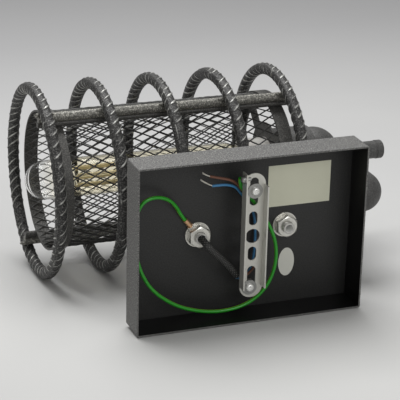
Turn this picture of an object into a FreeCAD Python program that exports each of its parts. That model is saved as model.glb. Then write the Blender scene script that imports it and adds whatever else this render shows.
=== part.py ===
import FreeCAD, Part
import Sketcher
import math
import os
import re

from FreeCAD import Placement, Rotation, Vector

# A caged wall light on plumbing fittings, seen as it hangs: the wall is the plane y = 0, +Y points
# into the room, +Z is up and the cage lies along X. The origin is the middle of the back plate's
# rim, on the wall. All sizes are millimetres.

doc = FreeCAD.newDocument("cage_wall_light")

# ---------------------------------------------------------------------------------------------
# Driving dimensions
# ---------------------------------------------------------------------------------------------
DIMENSIONS = {
    # folded sheet-steel back plate, open towards the wall
    "plate_width": 200.0,
    "plate_height": 145.6,
    "plate_depth": 30.0,
    "sheet_thickness": 1.5,
    "bend_radius": 1.6,
    "nipple_spacing": 78.0,
    "upper_screw_across": 2.6,
    "upper_screw_up": 41.4,
    "lower_screw_across": 0.4,
    "lower_screw_up": -44.0,
    # zinc-plated mounting bracket, a shallow channel that stands on its flanges
    "bracket_across": 2.0,
    "bracket_up": 1.6,
    "bracket_length": 110.0,
    "bracket_width": 20.0,
    "bracket_height": 9.2,
    "bracket_thickness": 1.2,
    "flange_length": 90.0,
    "earth_tab_reach": 57.0,
    "slot_width": 7.5,
    "long_slot_length": 24.5,
    "long_slot_spacing": 78.2,
    "short_slot_length": 12.2,
    "short_slot_spacing": 31.2,
    "cable_hole": 12.5,
    # bracket screws and earth screw
    "screw_diameter": 4.0,
    "screw_hole_clearance": 0.5,
    "screw_length": 28.0,
    "head_diameter": 8.0,
    "head_height": 2.6,
    "washer_diameter": 13.0,
    "washer_thickness": 1.0,
    "small_nut_flats": 7.0,
    "lock_nut_flats": 11.0,
    "small_nut_height": 3.2,
    "earth_screw_diameter": 3.0,
    "earth_head_diameter": 5.6,
    "earth_head_height": 2.0,
    "earth_screw_length": 6.0,
    "earth_screw_inset": 5.0,
    "earth_washer_diameter": 7.0,
    # hollow threaded nipples that hold the pipework to the plate
    "nipple_diameter": 10.0,
    "nipple_bore": 7.0,
    "nipple_reach": 11.0,
    "nipple_hole_clearance": 0.4,
    "nipple_nut_flats": 17.0,
    "nipple_nut_height": 6.5,
    "lock_washer_diameter": 21.6,
    "lug_thickness": 1.0,
    "lug_ring_diameter": 18.0,
    "lug_tongue": 5.0,
    "lug_barrel_length": 8.0,
    "lug_barrel_diameter": 4.4,
    # conductors
    "sleeve_diameter": 6.0,
    "earth_wire_diameter": 3.0,
    "wire_diameter": 2.2,
    "strand_diameter": 1.2,
    # plumbing fittings of the three-quarter-inch size
    "pipe_diameter": 26.9,
    "pipe_wall": 2.6,
    "thread_clearance": 0.1,
    "fitting_diameter": 36.2,
    "bead_diameter": 41.0,
    "bead_width": 8.0,
    "centre_to_end": 33.0,
    "thread_engagement": 14.5,
    "waterway_diameter": 21.5,
    "base_run_height": 80.4,
    "spigot_floor": 6.0,
    "leg_offset": 134.5,
    # upper fitting, with a wide socket for the lamp holder and a side boss
    "upper_centre_to_end": 40.0,
    "upper_ball_diameter": 49.0,
    "socket_diameter": 53.0,
    "socket_bore": 45.0,
    "socket_bore_depth": 35.0,
    "socket_shoulder": 4.0,
    "boss_diameter": 24.0,
    "boss_reach": 30.0,
    "stub_drop": 3.4,
    "stub_diameter": 17.2,
    "stub_wall": 2.3,
    "stub_engagement": 14.0,
    "stub_end": 206.5,
    "stub_cap_diameter": 17.8,
    "stub_cap_length": 7.0,
    "stub_cap_rounding": 2.0,
    # five rings of ribbed steel bar
    "ring_bar_diameter": 11.5,
    "cage_clearance": 0.25,
    "ring_pitch": 56.2,
    "ring_first": -134.2,
    # paired longitudinal bars between the basket and the rings
    "bar_diameter": 8.4,
    "rod_diameter": 5.6,
    "bar_angle": 68.0,
    "bar_overhang": 4.5,
    "weld_gap": 0.25,
    # expanded-metal basket
    "basket_left": -129.0,
    "basket_length": 219.3,
    "hoop_diameter": 126.0,
    "hoop_thickness": 1.7,
    "hoop_width": 12.5,
    "mesh_clearance": 0.1,
    "mesh_thickness": 1.2,
    "mesh_strand": 1.6,
    "mesh_end_gap": 0.5,
    "cells_around": 32.0,
    "cells_along": 10.0,
    "panels_around": 16.0,
    "spider_thickness": 2.0,
    "spider_inset": 2.1,
    "spider_hub": 66.0,
    "spider_rim": 7.0,
    "spider_spoke": 12.0,
    "spider_spokes": 4.0,
    # lamp holder, size E27
    "holder_diameter": 39.0,
    "holder_reach": 25.0,
    "holder_flange": 3.0,
    "holder_lip": 1.5,
    "holder_cavity_diameter": 29.0,
    "holder_cavity_depth": 30.0,
    "shell_outer": 28.8,
    "shell_inner": 26.8,
    "shell_length": 27.0,
    "contact_diameter": 9.0,
    "contact_height": 2.5,
    "contact_gap": 0.3,
    # tubular filament bulb
    "bulb_diameter": 35.6,
    "bulb_tip": -144.0,
    "glass_thickness": 0.9,
    "neck_diameter": 25.0,
    "neck_length": 14.0,
    "cap_diameter": 26.0,
    "cap_length": 25.5,
    "cap_wall": 0.5,
    "insulator_length": 2.4,
    "pip_diameter": 9.4,
    "pip_length": 1.4,
    "stem_diameter": 11.0,
    "stem_length": 40.0,
    "mast_diameter": 2.4,
    "filament_diameter": 2.6,
    "filament_radius": 9.0,
    "star_gap": 0.2,
    "mast_overhang": 2.0,
    "filament_start": -98.0,
    "filament_count": 6.0,
    "star_wire_diameter": 0.9,
    # stickers on the plate's floor
    "label_width": 56.4,
    "label_height": 36.5,
    "label_across": 50.9,
    "label_up": 35.0,
    "sticker_thickness": 0.2,
    "oval_width": 14.5,
    "oval_height": 25.6,
    "oval_across": 42.0,
    "oval_up": -34.7,
}

# Sizes that follow from the others: the bars fill the space between hoops and rings, and the rings
# just clear the run of fittings under them.
DERIVED = {
    "ring_radius": "hoop_diameter / 2 + rod_diameter + weld_gap + bar_diameter + ring_bar_diameter / 2",
    "cage_axis_height": "base_run_height + fitting_diameter / 2 + cage_clearance"
                        " + ring_bar_diameter / 2 + ring_radius",
}
NAMED_SIZES = {**DIMENSIONS, **{alias: "=" + formula for alias, formula in DERIVED.items()}}

sizes = doc.addObject("Spreadsheet::Sheet", "sizes")
for row, (alias, number) in enumerate(NAMED_SIZES.items(), start=1):
    sizes.set("A%d" % row, alias)
    sizes.set("B%d" % row, str(number))
    sizes.setAlias("B%d" % row, alias)
doc.recompute()

nodes = []


# ---------------------------------------------------------------------------------------------
# Helpers
# ---------------------------------------------------------------------------------------------
def bound(expression):
    """Return an expression whose dimension names point into the sheet."""
    text = str(expression)
    return re.sub(r"[a-z][a-z_]+", lambda word: "sizes." + word.group(0)
                  if word.group(0) in NAMED_SIZES else word.group(0), text)


def size(expression):
    """Return the present value of an expression of dimensions."""
    result = sizes.evalExpression(bound(expression).replace("sizes.", ""))
    return float(getattr(result, "Value", result))


def point(x, y, z):
    return Vector(size(x), size(y), size(z))


# Rotations that turn a shape built along +Z to lie along another row axis.
WAYS = {
    "+X": Rotation(Vector(0, 1, 0), 90),
    "-X": Rotation(Vector(0, 1, 0), -90),
    "+Y": Rotation(Vector(1, 0, 0), -90),
    "-Y": Rotation(Vector(1, 0, 0), 90),
    "+Z": Rotation(),
}


def place(shape_object, at=(0, 0, 0), way="+Z"):
    """Turn an object along a row axis and bind its position to the sheet."""
    shape_object.Placement = Placement(point(*at), WAYS[way])
    for axis, expression in zip("xyz", at):
        shape_object.setExpression("Placement.Base." + axis, bound(expression))
    return shape_object


def primitive(kind, name, at, way, **properties):
    shape_object = doc.addObject("Part::" + kind, name)
    for key, expression in properties.items():
        shape_object.setExpression(key, bound(expression))
    return place(shape_object, at, way)


def cylinder(name, diameter, length, at=(0, 0, 0), way="+Z"):
    return primitive("Cylinder", name, at, way, Radius="(%s) / 2" % diameter, Height=length)


def cone(name, start, end, length, at=(0, 0, 0), way="+Z"):
    return primitive("Cone", name, at, way, Radius1="(%s) / 2" % start, Radius2="(%s) / 2" % end,
                     Height=length)


def ball(name, diameter, at=(0, 0, 0), way="+Z"):
    return primitive("Sphere", name, at, way, Radius="(%s) / 2" % diameter)


def prism(name, corners, across_corners, length, at=(0, 0, 0), way="+Z"):
    solid = primitive("Prism", name, at, way, Circumradius="(%s) / 2" % across_corners, Height=length)
    solid.Polygon = corners
    return solid


def fuse(name, parts):
    joined = doc.addObject("Part::MultiFuse", name)
    joined.Shapes = parts
    return joined


def cut(name, base, tools):
    carved = doc.addObject("Part::Cut", name)
    carved.Base = base
    carved.Tool = tools[0] if len(tools) == 1 else fuse(name + "_tools", tools)
    return carved


def group(name, parts):
    """Keep several separate solids in one node."""
    collected = doc.addObject("Part::Compound", name)
    collected.Links = parts
    return collected


def keep(shape_object, label):
    """Register an object as a finished piece under its node name."""
    shape_object.Label = label
    nodes.append(shape_object)
    return shape_object


def pipe(name, outer, bore, length, at, way):
    wall = cylinder(name + "_outside", outer, length, at, way)
    hole = cylinder(name + "_inside", bore, length, at, way)
    return cut(name, wall, [hole])


def new_body(label):
    body = doc.addObject("PartDesign::Body", label + "_body")
    return keep(body, label)


def sketch_on(body, role, name):
    sketch = body.newObject("Sketcher::SketchObject", name)
    plane = [item for item in body.Origin.OriginFeatures if item.Role == role][0]
    sketch.AttachmentSupport = [(plane, "")]
    sketch.MapMode = "FlatFace"
    return sketch


def pin_point(sketch, geometry, end, x, y):
    """Fix one end of a sketch element at a pair of bound coordinates."""
    for kind, expression in (("DistanceX", x), ("DistanceY", y)):
        index = sketch.addConstraint(Sketcher.Constraint(kind, -1, 1, geometry, end, size(expression)))
        sketch.setExpression("Constraints[%d]" % index, bound(expression))


def draw_outline(sketch, corners):
    """Draw a closed outline of straight edges through bound corner points."""
    spots = [Vector(size(x), size(y), 0) for x, y in corners]
    first = sketch.GeometryCount
    for index, spot in enumerate(spots):
        sketch.addGeometry(Part.LineSegment(spot, spots[(index + 1) % len(spots)]))
    for index, (x, y) in enumerate(corners):
        following = (index + 1) % len(spots)
        sketch.addConstraint(Sketcher.Constraint("Coincident", first + index, 2, first + following, 1))
        pin_point(sketch, first + index, 1, x, y)


def draw_circle(sketch, x, y, diameter):
    index = sketch.addGeometry(Part.Circle(Vector(size(x), size(y), 0), Vector(0, 0, 1), size(diameter) / 2))
    constraint = sketch.addConstraint(Sketcher.Constraint("Diameter", index, size(diameter)))
    sketch.setExpression("Constraints[%d]" % constraint, bound(diameter))
    pin_point(sketch, index, 3, x, y)


def draw_slot(sketch, x, y, width, length):
    """Draw an upright slot with round ends, centred on a bound point."""
    radius = size(width) / 2
    reach = size("(%s) / 2" % length) - radius
    middle = Vector(size(x), size(y), 0)
    top = middle + Vector(0, reach, 0)
    bottom = middle - Vector(0, reach, 0)
    normal = Vector(0, 0, 1)
    upper = sketch.addGeometry(Part.ArcOfCircle(Part.Circle(top, normal, radius), 0, math.pi))
    left = sketch.addGeometry(Part.LineSegment(top - Vector(radius, 0, 0), bottom - Vector(radius, 0, 0)))
    lower = sketch.addGeometry(Part.ArcOfCircle(Part.Circle(bottom, normal, radius), math.pi, 2 * math.pi))
    right = sketch.addGeometry(Part.LineSegment(bottom + Vector(radius, 0, 0), top + Vector(radius, 0, 0)))
    for one, one_end, other, other_end in ((upper, 2, left, 1), (left, 2, lower, 1), (lower, 2, right, 1),
                                           (right, 2, upper, 1)):
        sketch.addConstraint(Sketcher.Constraint("Tangent", one, one_end, other, other_end))
    across = sketch.addConstraint(Sketcher.Constraint("Radius", upper, radius))
    sketch.setExpression("Constraints[%d]" % across, bound("(%s) / 2" % width))
    pin_point(sketch, upper, 3, x, "(%s) + ((%s) - (%s)) / 2" % (y, length, width))
    pin_point(sketch, lower, 3, x, "(%s) - ((%s) - (%s)) / 2" % (y, length, width))


def extrude(body, kind, name, sketch, length=None, backwards=False):
    feature = body.newObject("PartDesign::" + kind, name)
    feature.Profile = sketch
    feature.Reversed = backwards
    if length is None:
        feature.Type = "ThroughAll"
    else:
        feature.setExpression("Length", bound(length))
    sketch.Visibility = False
    return feature


def round_edges(body, name, base, wanted, radius):
    """Fillet the edges of a feature that a test picks out."""
    doc.recompute()
    picked = ["Edge%d" % (number + 1) for number, edge in enumerate(base.Shape.Edges) if wanted(edge)]
    fillet = body.newObject("PartDesign::Fillet", name)
    fillet.Base = (base, picked)
    fillet.setExpression("Radius", bound(radius))
    return fillet


def along_y(edge):
    """Tell whether a straight edge runs square to the wall."""
    ends = [vertex.Point for vertex in edge.Vertexes]
    return len(ends) == 2 and abs((ends[1] - ends[0]).normalize().y) > 0.999


NEARLY = 0.01


def at_depth(depth):
    """Return a test for edges that lie whole in the plane y = depth."""
    return lambda edge: abs(edge.BoundBox.YMin - depth) < NEARLY and abs(edge.BoundBox.YMax - depth) < NEARLY


# ---------------------------------------------------------------------------------------------
# Back plate: a sheet-steel tray, open at the wall side
# ---------------------------------------------------------------------------------------------
def rectangle(width, height, inset="0", x="0", y="0"):
    """Return the corners of an upright rectangle about a centre, shrunk by an inset."""
    half_width = "((%s) / 2 - (%s))" % (width, inset)
    half_height = "((%s) / 2 - (%s))" % (height, inset)
    signs = ((-1, -1), (1, -1), (1, 1), (-1, 1))
    return [("%s + %d * %s" % (x, right, half_width), "%s + %d * %s" % (y, up, half_height))
            for right, up in signs]


PLATE_FLOOR = "plate_depth - sheet_thickness"


def make_back_plate():
    body = new_body("back_plate")
    outline = sketch_on(body, "XZ_Plane", "plate_outline")
    draw_outline(outline, rectangle("plate_width", "plate_height"))
    block = extrude(body, "Pad", "plate_block", outline, "plate_depth", backwards=True)
    front = size("plate_depth")
    folded = round_edges(body, "plate_bends", block, lambda edge: along_y(edge) or at_depth(front)(edge),
                         "bend_radius")
    body.Tip = folded
    hollow = sketch_on(body, "XZ_Plane", "plate_hollow")
    draw_outline(hollow, rectangle("plate_width", "plate_height", "sheet_thickness"))
    extrude(body, "Pocket", "plate_inside", hollow, PLATE_FLOOR)
    holes = sketch_on(body, "XZ_Plane", "plate_holes")
    for side in (-1, 1):
        draw_circle(holes, "%d * nipple_spacing / 2" % side, "0", "nipple_diameter + nipple_hole_clearance")
    for end in ("upper", "lower"):
        draw_circle(holes, end + "_screw_across", end + "_screw_up", "screw_diameter + screw_hole_clearance")
    extrude(body, "Pocket", "plate_drilling", holes)


# ---------------------------------------------------------------------------------------------
# Mounting bracket: slotted web on two flanges, with an earth tab on the left one
# ---------------------------------------------------------------------------------------------
WEB_FACE = "bracket_height - bracket_thickness"


def make_bracket():
    body = new_body("mounting_bracket")
    outline = sketch_on(body, "XZ_Plane", "web_outline")
    draw_slot(outline, "0", "0", "bracket_width", "bracket_length")
    web = extrude(body, "Pad", "web", outline, "bracket_height", backwards=True)
    body.Tip = web
    clearance = sketch_on(body, "XZ_Plane", "web_clearance")
    draw_outline(clearance, rectangle("bracket_width + bracket_thickness",
                                      "bracket_length + bracket_thickness"))
    extrude(body, "Pocket", "web_thinning", clearance, WEB_FACE)
    flanges = sketch_on(body, "XZ_Plane", "flange_outlines")
    outside = "bracket_width / 2"
    inside = "bracket_width / 2 - bracket_thickness"
    for side, top in ((-1, "earth_tab_reach"), (1, "flange_length / 2")):
        near = "%d * (%s)" % (side, inside)
        far = "%d * (%s)" % (side, outside)
        draw_outline(flanges, [(near, "-flange_length / 2"), (far, "-flange_length / 2"), (far, top),
                               (near, top)])
    extrude(body, "Pad", "flanges", flanges, "bracket_height", backwards=True)
    openings = sketch_on(body, "XZ_Plane", "web_openings")
    draw_circle(openings, "0", "0", "cable_hole")
    for side in (-1, 1):
        draw_slot(openings, "0", "%d * short_slot_spacing / 2" % side, "slot_width", "short_slot_length")
        draw_slot(openings, "0", "%d * long_slot_spacing / 2" % side, "slot_width", "long_slot_length")
    extrude(body, "Pocket", "web_slots", openings)
    earth_hole = sketch_on(body, "YZ_Plane", "earth_hole")
    draw_circle(earth_hole, EARTH_SCREW_DEPTH, EARTH_SCREW_UP, "earth_screw_diameter + 2 * thread_clearance")
    extrude(body, "Pocket", "earth_drilling", earth_hole)
    place(body, ("bracket_across", "0", "bracket_up"))


# ---------------------------------------------------------------------------------------------
# Screws, washers and nuts
# ---------------------------------------------------------------------------------------------
EARTH_SCREW_DEPTH = "(bracket_height - bracket_thickness) / 2"
EARTH_SCREW_UP = "earth_tab_reach - earth_screw_inset"
HEAD_SEAT = "%s - washer_thickness" % WEB_FACE
ACROSS_CORNERS = 1.1547


def pan_head_screw(name, across, height, seat, shank, length, way):
    """Make a screw at its head seat: the shank points along way, the rounded head the other way."""
    axis = "XYZ".index(way[1])

    def shifted(distance):
        spot = list(seat)
        spot[axis] = "%s - %s" % (seat[axis], distance)
        return spot

    body = cylinder(name + "_shank", shank, "%s + %s" % (height, length), shifted(height), way)
    crown = cone(name + "_crown", "%s * 0.72" % across, across, "%s / 2" % height, shifted(height), way)
    rim = cylinder(name + "_rim", across, "%s / 2" % height, shifted("%s / 2" % height), way)
    return fuse(name, [body, crown, rim])


def annulus(name, outer, inner, thickness, at, way):
    return pipe(name, outer, inner, thickness, at, way)


def hexagon_nut(name, flats, bore, height, at, way):
    corners = "(%s) * %s" % (flats, ACROSS_CORNERS)
    return cut(name, prism(name + "_hexagon", 6, corners, height, at, way),
               [cylinder(name + "_bore", bore, height, at, way)])


def make_bracket_fasteners():
    screws = []
    washers = []
    lock_nuts = []
    cap_nuts = []
    for word in ("upper", "lower"):
        across = word + "_screw_across"
        up = word + "_screw_up"
        seat = (across, HEAD_SEAT, up)
        screws.append(pan_head_screw("bracket_screw_" + word, "head_diameter", "head_height", seat,
                                     "screw_diameter", "screw_length", "+Y"))
        washers.append(annulus("bracket_washer_" + word, "washer_diameter", "screw_diameter",
                               "washer_thickness",
                               seat, "+Y"))
        lock_nuts.append(hexagon_nut("lock_nut_" + word, "lock_nut_flats", "screw_diameter",
                                     "small_nut_height", (across, "bracket_height", up), "+Y"))
        front = (across, "plate_depth", up)
        cap = prism("cap_hexagon_" + word, 6, "small_nut_flats * %s" % ACROSS_CORNERS, "small_nut_height",
                    front, "+Y")
        dome = ball("cap_dome_" + word, "small_nut_flats * 0.9",
                    (across, "plate_depth + small_nut_height", up))
        bore = cylinder("cap_bore_" + word, "screw_diameter",
                        "screw_length - (plate_depth - (%s))" % HEAD_SEAT,
                        front, "+Y")
        cap_nuts.append(cut("cap_nut_" + word, fuse("cap_" + word, [cap, dome]), [bore]))
    keep(group("screw_pair", screws), "bracket_screws")
    keep(group("washer_pair", washers), "bracket_washers")
    keep(group("lock_nut_pair", lock_nuts), "lock_nuts")
    keep(group("cap_nut_pair", cap_nuts), "cap_nuts")


def make_earth_screw():
    """Hold the earth wire to the outside of the bracket's tab."""
    seat = ("bracket_across - bracket_width / 2 - washer_thickness", EARTH_SCREW_DEPTH,
            "bracket_up + " + EARTH_SCREW_UP)
    keep(pan_head_screw("earth_screw_solid", "earth_head_diameter", "earth_head_height", seat,
                        "earth_screw_diameter", "earth_screw_length", "+X"), "earth_screw")
    keep(annulus("earth_washer_solid", "earth_washer_diameter", "earth_screw_diameter", "washer_thickness",
                 seat, "+X"), "earth_washer")


# ---------------------------------------------------------------------------------------------
# Hollow nipples, their lock washers and nuts, and the earth lug
# ---------------------------------------------------------------------------------------------
NIPPLE_END = "plate_depth - sheet_thickness - nipple_reach"
LUG_CENTRE = "-nipple_spacing / 2"
LUG_SEAT = "%s - washer_thickness" % PLATE_FLOOR


def make_nipples():
    for side, word, under in ((-1, "left", "lug_thickness"), (1, "right", "0")):
        across = "%d * nipple_spacing / 2" % side
        length = "nipple_reach + sheet_thickness + spigot_floor"
        keep(pipe("nipple_" + word, "nipple_diameter", "nipple_bore", length, (across, NIPPLE_END, "0"),
                  "+Y"),
             "threaded_nipple_" + word)
        washer_face = "%s - washer_thickness" % PLATE_FLOOR
        keep(annulus("lock_washer_" + word, "lock_washer_diameter", "nipple_diameter", "washer_thickness",
                     (across, washer_face, "0"), "+Y"), "lock_washer_%s" % word)
        nut_face = "%s - %s - nipple_nut_height" % (washer_face, under)
        keep(hexagon_nut("nut_" + word, "nipple_nut_flats", "nipple_diameter", "nipple_nut_height",
                         (across, nut_face, "0"), "+Y"), "nipple_nut_%s" % word)


# The lug's barrel leaves the ring up and to the left, towards the wire.
LUG_DIRECTION = Vector(-0.62, 0, 0.78).normalize()
LUG_BARREL_START = "lock_washer_diameter / 2 + 0.1"


def lug_point(distance):
    """Return a bound point on the lug barrel's axis, measured from the middle of the ring."""
    middle = (LUG_CENTRE, "%s - lug_barrel_diameter / 2 - thread_clearance" % PLATE_FLOOR, "0")
    return ["%s + (%.4f) * (%s)" % (start, share, distance) for start, share in zip(middle, LUG_DIRECTION)]


def make_earth_lug():
    ring = annulus("lug_ring", "lug_ring_diameter", "nipple_diameter", "lug_thickness",
                   (LUG_CENTRE, "%s - lug_thickness" % LUG_SEAT, "0"), "+Y")
    barrel = cylinder("lug_barrel", "lug_barrel_diameter", "lug_barrel_length", lug_point(LUG_BARREL_START))
    turn = Rotation(Vector(0, 0, 1), LUG_DIRECTION)
    barrel.Placement = Placement(barrel.Placement.Base, turn)
    tongue = doc.addObject("Part::Box", "lug_tongue_strip")
    tongue.setExpression("Length", bound("lug_tongue"))
    tongue.setExpression("Width", bound("lug_thickness"))
    tongue.setExpression("Height", bound("%s + 1 - nipple_diameter * 0.6" % LUG_BARREL_START))
    centre = point(LUG_CENTRE, "%s - lug_thickness" % LUG_SEAT, "0")
    corner = centre + LUG_DIRECTION * size("nipple_diameter * 0.6")
    tongue.Placement = Placement(corner - turn.multVec(Vector(size("lug_tongue / 2"), 0, 0)), turn)
    keep(fuse("lug", [ring, tongue, barrel]), "earth_lug")


# ---------------------------------------------------------------------------------------------
# Conductors: straight runs joined by tangent arcs
# ---------------------------------------------------------------------------------------------
def rounded_path(route):
    """Return a wire through a route whose corners are arcs as large as the runs allow."""
    edges = []
    start = route[0]
    radii = []
    for before, corner, after in zip(route, route[1:], route[2:]):
        back = before - corner
        ahead = after - corner
        shorter = min(back.Length, ahead.Length)
        turn = math.pi - back.getAngle(ahead)
        reach = 0.45 * shorter
        radii.append(reach / math.tan(turn / 2))
        entry = corner + back.normalize() * reach
        leave = corner + ahead.normalize() * reach
        toward = (entry + leave) * 0.5 - corner
        apex_distance = radii[-1] / math.cos(turn / 2) - radii[-1]
        apex = corner + toward.normalize() * apex_distance
        edges.append(Part.LineSegment(start, entry).toShape())
        edges.append(Part.Arc(entry, apex, leave).toShape())
        start = leave
    edges.append(Part.LineSegment(start, route[-1]).toShape())
    return Part.Wire(edges), radii


def make_wire(label, diameter, route):
    """Sweep a round conductor along its route and compare its volume with section times length."""
    path, radii = rounded_path([Vector(*spot) for spot in route])
    radius = size(diameter) / 2
    first = path.Edges[0]
    heading = first.tangentAt(first.FirstParameter)
    section = Part.Wire(Part.makeCircle(radius, path.Vertexes[0].Point, heading))
    solid = path.makePipeShell([section], True, False, 2)
    expected = math.pi * radius ** 2 * path.Length
    print("%s: length %.1f, radii %s, volume ratio %.4f" %
          (label, path.Length, " ".join("%.0f" % value for value in radii), solid.Volume / expected))
    feature = doc.addObject("Part::Feature", label + "_solid")
    feature.Shape = solid
    feature.Placement = Placement()
    keep(feature, label)


# The loose earth wire runs from the lug, behind the left wall's lip, round the tray and up behind
# the bracket to the earth screw.
EARTH_ROUTE = [(-53.9, 26.2, 18.7), (-59.4, 23.7, 28.4), (-66.6, 20.3, 36.5), (-77.5, 17, 41.6),
               (-88.3, 15.5, 40.8), (-94.6, 15.5, 33.6), (-96.5, 16.5, 22), (-96.8, 16.5, 10),
               (-96.4, 16, -2), (-94.8, 15, -13), (-91.1, 15, -24.3), (-84.1, 15, -36.8),
               (-73.4, 15, -47.5), (-57.7, 15, -58), (-37.6, 15, -64.7), (-19.6, 15, -66.7),
               (-1.7, 15, -64.3), (12.2, 15, -57), (21.8, 15, -45.1), (26.6, 15, -30.4), (26.9, 15, -15),
               (22.8, 15, 0), (14, 15, 16), (7, 14.7, 26.5), (0, 14.2, 34.3), (-5.8, 13, 41.3),
               (-9.6, 11.2, 47.6), (-10.2, 9.3, 53.2)]
# Cable sleeve: out of the left nipple, then down behind the bracket.
SLEEVE_ROUTE = [(-39, 24, 0), (-39, 8.6, -0.3), (-32.8, 7.8, -7.8), (-24.4, 10, -16.2),
                (-15.8, 12, -25.8), (-8.2, 14, -35)]
BROWN_ROUTE = [(-7.4, 14, -35), (-3.4, 16, -37.2), (3.5, 18, -37), (10, 20, -31), (13.6, 21, -20),
               (14.2, 21, -5), (13.6, 21, 10), (9.5, 21, 23.5), (2.5, 20.5, 32.3), (-4.5, 18.6, 38.6),
               (-9.8, 16.4, 46), (-15.6, 15.3, 50), (-24, 15, 52.5), (-34.4, 15, 55.3)]
BLUE_ROUTE = [(-9.2, 14.6, -36.8), (-4.8, 17.4, -40), (3, 20.8, -39.2), (8.6, 23.2, -31.5),
              (11, 24.4, -19), (11.4, 24.8, -5), (10.6, 24.8, 9), (6.8, 24.4, 21), (0.6, 22.8, 29.6),
              (-5.2, 19.8, 35.8), (-9.6, 17, 41.8), (-15.2, 15.6, 45.2), (-22.4, 15, 46.9),
              (-32.2, 15, 46.7)]
BROWN_STRAND = [(-34.5, 15, 55.33), (-37.4, 15, 56.4), (-40.7, 15, 58.9)]
BLUE_STRAND = [(-32.5, 15, 46.7), (-36.4, 15, 48.9), (-42.2, 15, 53)]


def make_conductors():
    lug_end = point(*lug_point("%s + lug_barrel_length + thread_clearance" % LUG_BARREL_START))
    make_wire("earth_wire", "earth_wire_diameter", [tuple(lug_end)] + EARTH_ROUTE)
    make_wire("cable_sleeve", "sleeve_diameter", SLEEVE_ROUTE)
    make_wire("brown_wire", "wire_diameter", BROWN_ROUTE)
    make_wire("blue_wire", "wire_diameter", BLUE_ROUTE)
    make_wire("brown_strand", "strand_diameter", BROWN_STRAND)
    make_wire("blue_strand", "strand_diameter", BLUE_STRAND)


# ---------------------------------------------------------------------------------------------
# Plumbing fittings between the plate and the cage
# ---------------------------------------------------------------------------------------------
SOCKET_BORE = "pipe_diameter"
PIPE_OUTER = "pipe_diameter - 2 * thread_clearance"
PIPE_BORE = "pipe_diameter - 2 * pipe_wall"


def arm(name, centre, way, reach):
    """Return the outside and the hollow of one female arm of a fitting."""
    opposite = {"+X": "-X", "-X": "+X", "+Y": "-Y", "-Y": "+Y"}[way]
    mouth = list(centre)
    axis = "XYZ".index(way[1])
    mouth[axis] = "(%s) %s (%s)" % (centre[axis], way[0], reach)
    barrel = cylinder(name + "_barrel", "fitting_diameter", reach, centre, way)
    bead = cylinder(name + "_bead", "bead_diameter", "bead_width", mouth, opposite)
    socket = cylinder(name + "_socket", SOCKET_BORE, "thread_engagement", mouth, opposite)
    waterway = cylinder(name + "_waterway", "waterway_diameter", reach, centre, way)
    return [barrel, bead], [socket, waterway]


def fitting(name, centre, ways):
    """Make a malleable fitting with equal arms that meet in a ball."""
    outside = [ball(name + "_ball", "fitting_diameter", centre)]
    hollow = [ball(name + "_hollow", "waterway_diameter", centre)]
    for way in ways:
        walls, voids = arm("%s_%s" % (name, "left right out in".split()[("-X", "+X", "+Y", "-Y").index(way)]),
                           centre, way, "centre_to_end")
        outside += walls
        hollow += voids
    return cut(name, fuse(name + "_outside", outside), hollow)


def make_base_run():
    for side, word in ((-1, "left"), (1, "right")):
        across = "%d * nipple_spacing / 2" % side
        ways = ("+X", "-Y") if word == "left" else ("-X", "+X", "-Y")
        kind = "elbow" if word == "left" else "tee"
        keep(fitting("%s_%s" % (kind, word), (across, "base_run_height", "0"), ways), "base_" + kind)
        spigot_length = "base_run_height - centre_to_end + thread_engagement - plate_depth"
        start = (across, "plate_depth", "0")
        outside = cylinder("spigot_outside_" + word, PIPE_OUTER, spigot_length, start, "+Y")
        inside = cylinder("spigot_inside_" + word, PIPE_BORE, "%s - spigot_floor" % spigot_length,
                          (across, "plate_depth + spigot_floor", "0"), "+Y")
        thread = cylinder("spigot_thread_" + word, "nipple_diameter + 2 * thread_clearance", "spigot_floor",
                          start, "+Y")
        keep(cut("spigot_" + word, outside, [inside, thread]), "plate_spigot_" + word)
    reach = "nipple_spacing / 2 - centre_to_end + thread_engagement"
    keep(pipe("close_pipe", PIPE_OUTER, PIPE_BORE, "2 * (%s)" % reach,
              ("-(%s)" % reach, "base_run_height", "0"), "+X"), "close_nipple")
    start = "nipple_spacing / 2 + centre_to_end - thread_engagement"
    length = "leg_offset - centre_to_end + thread_engagement - (%s)" % start
    keep(pipe("run", PIPE_OUTER, PIPE_BORE, length, (start, "base_run_height", "0"), "+X"), "run_pipe")
    corner = ("leg_offset", "base_run_height", "0")
    keep(fitting("lower_corner", corner, ("-X", "+Y")), "lower_elbow")
    low = "base_run_height + centre_to_end - thread_engagement"
    high = "cage_axis_height - upper_centre_to_end + thread_engagement"
    keep(pipe("leg", PIPE_OUTER, PIPE_BORE, "%s - (%s)" % (high, low), ("leg_offset", low, "0"), "+Y"),
         "leg_pipe")


BASKET_END = "basket_left + basket_length"
SPIDER_FACE = "basket_left + basket_length - spider_inset"
SOCKET_FLOOR = "%s + socket_bore_depth" % SPIDER_FACE


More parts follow.
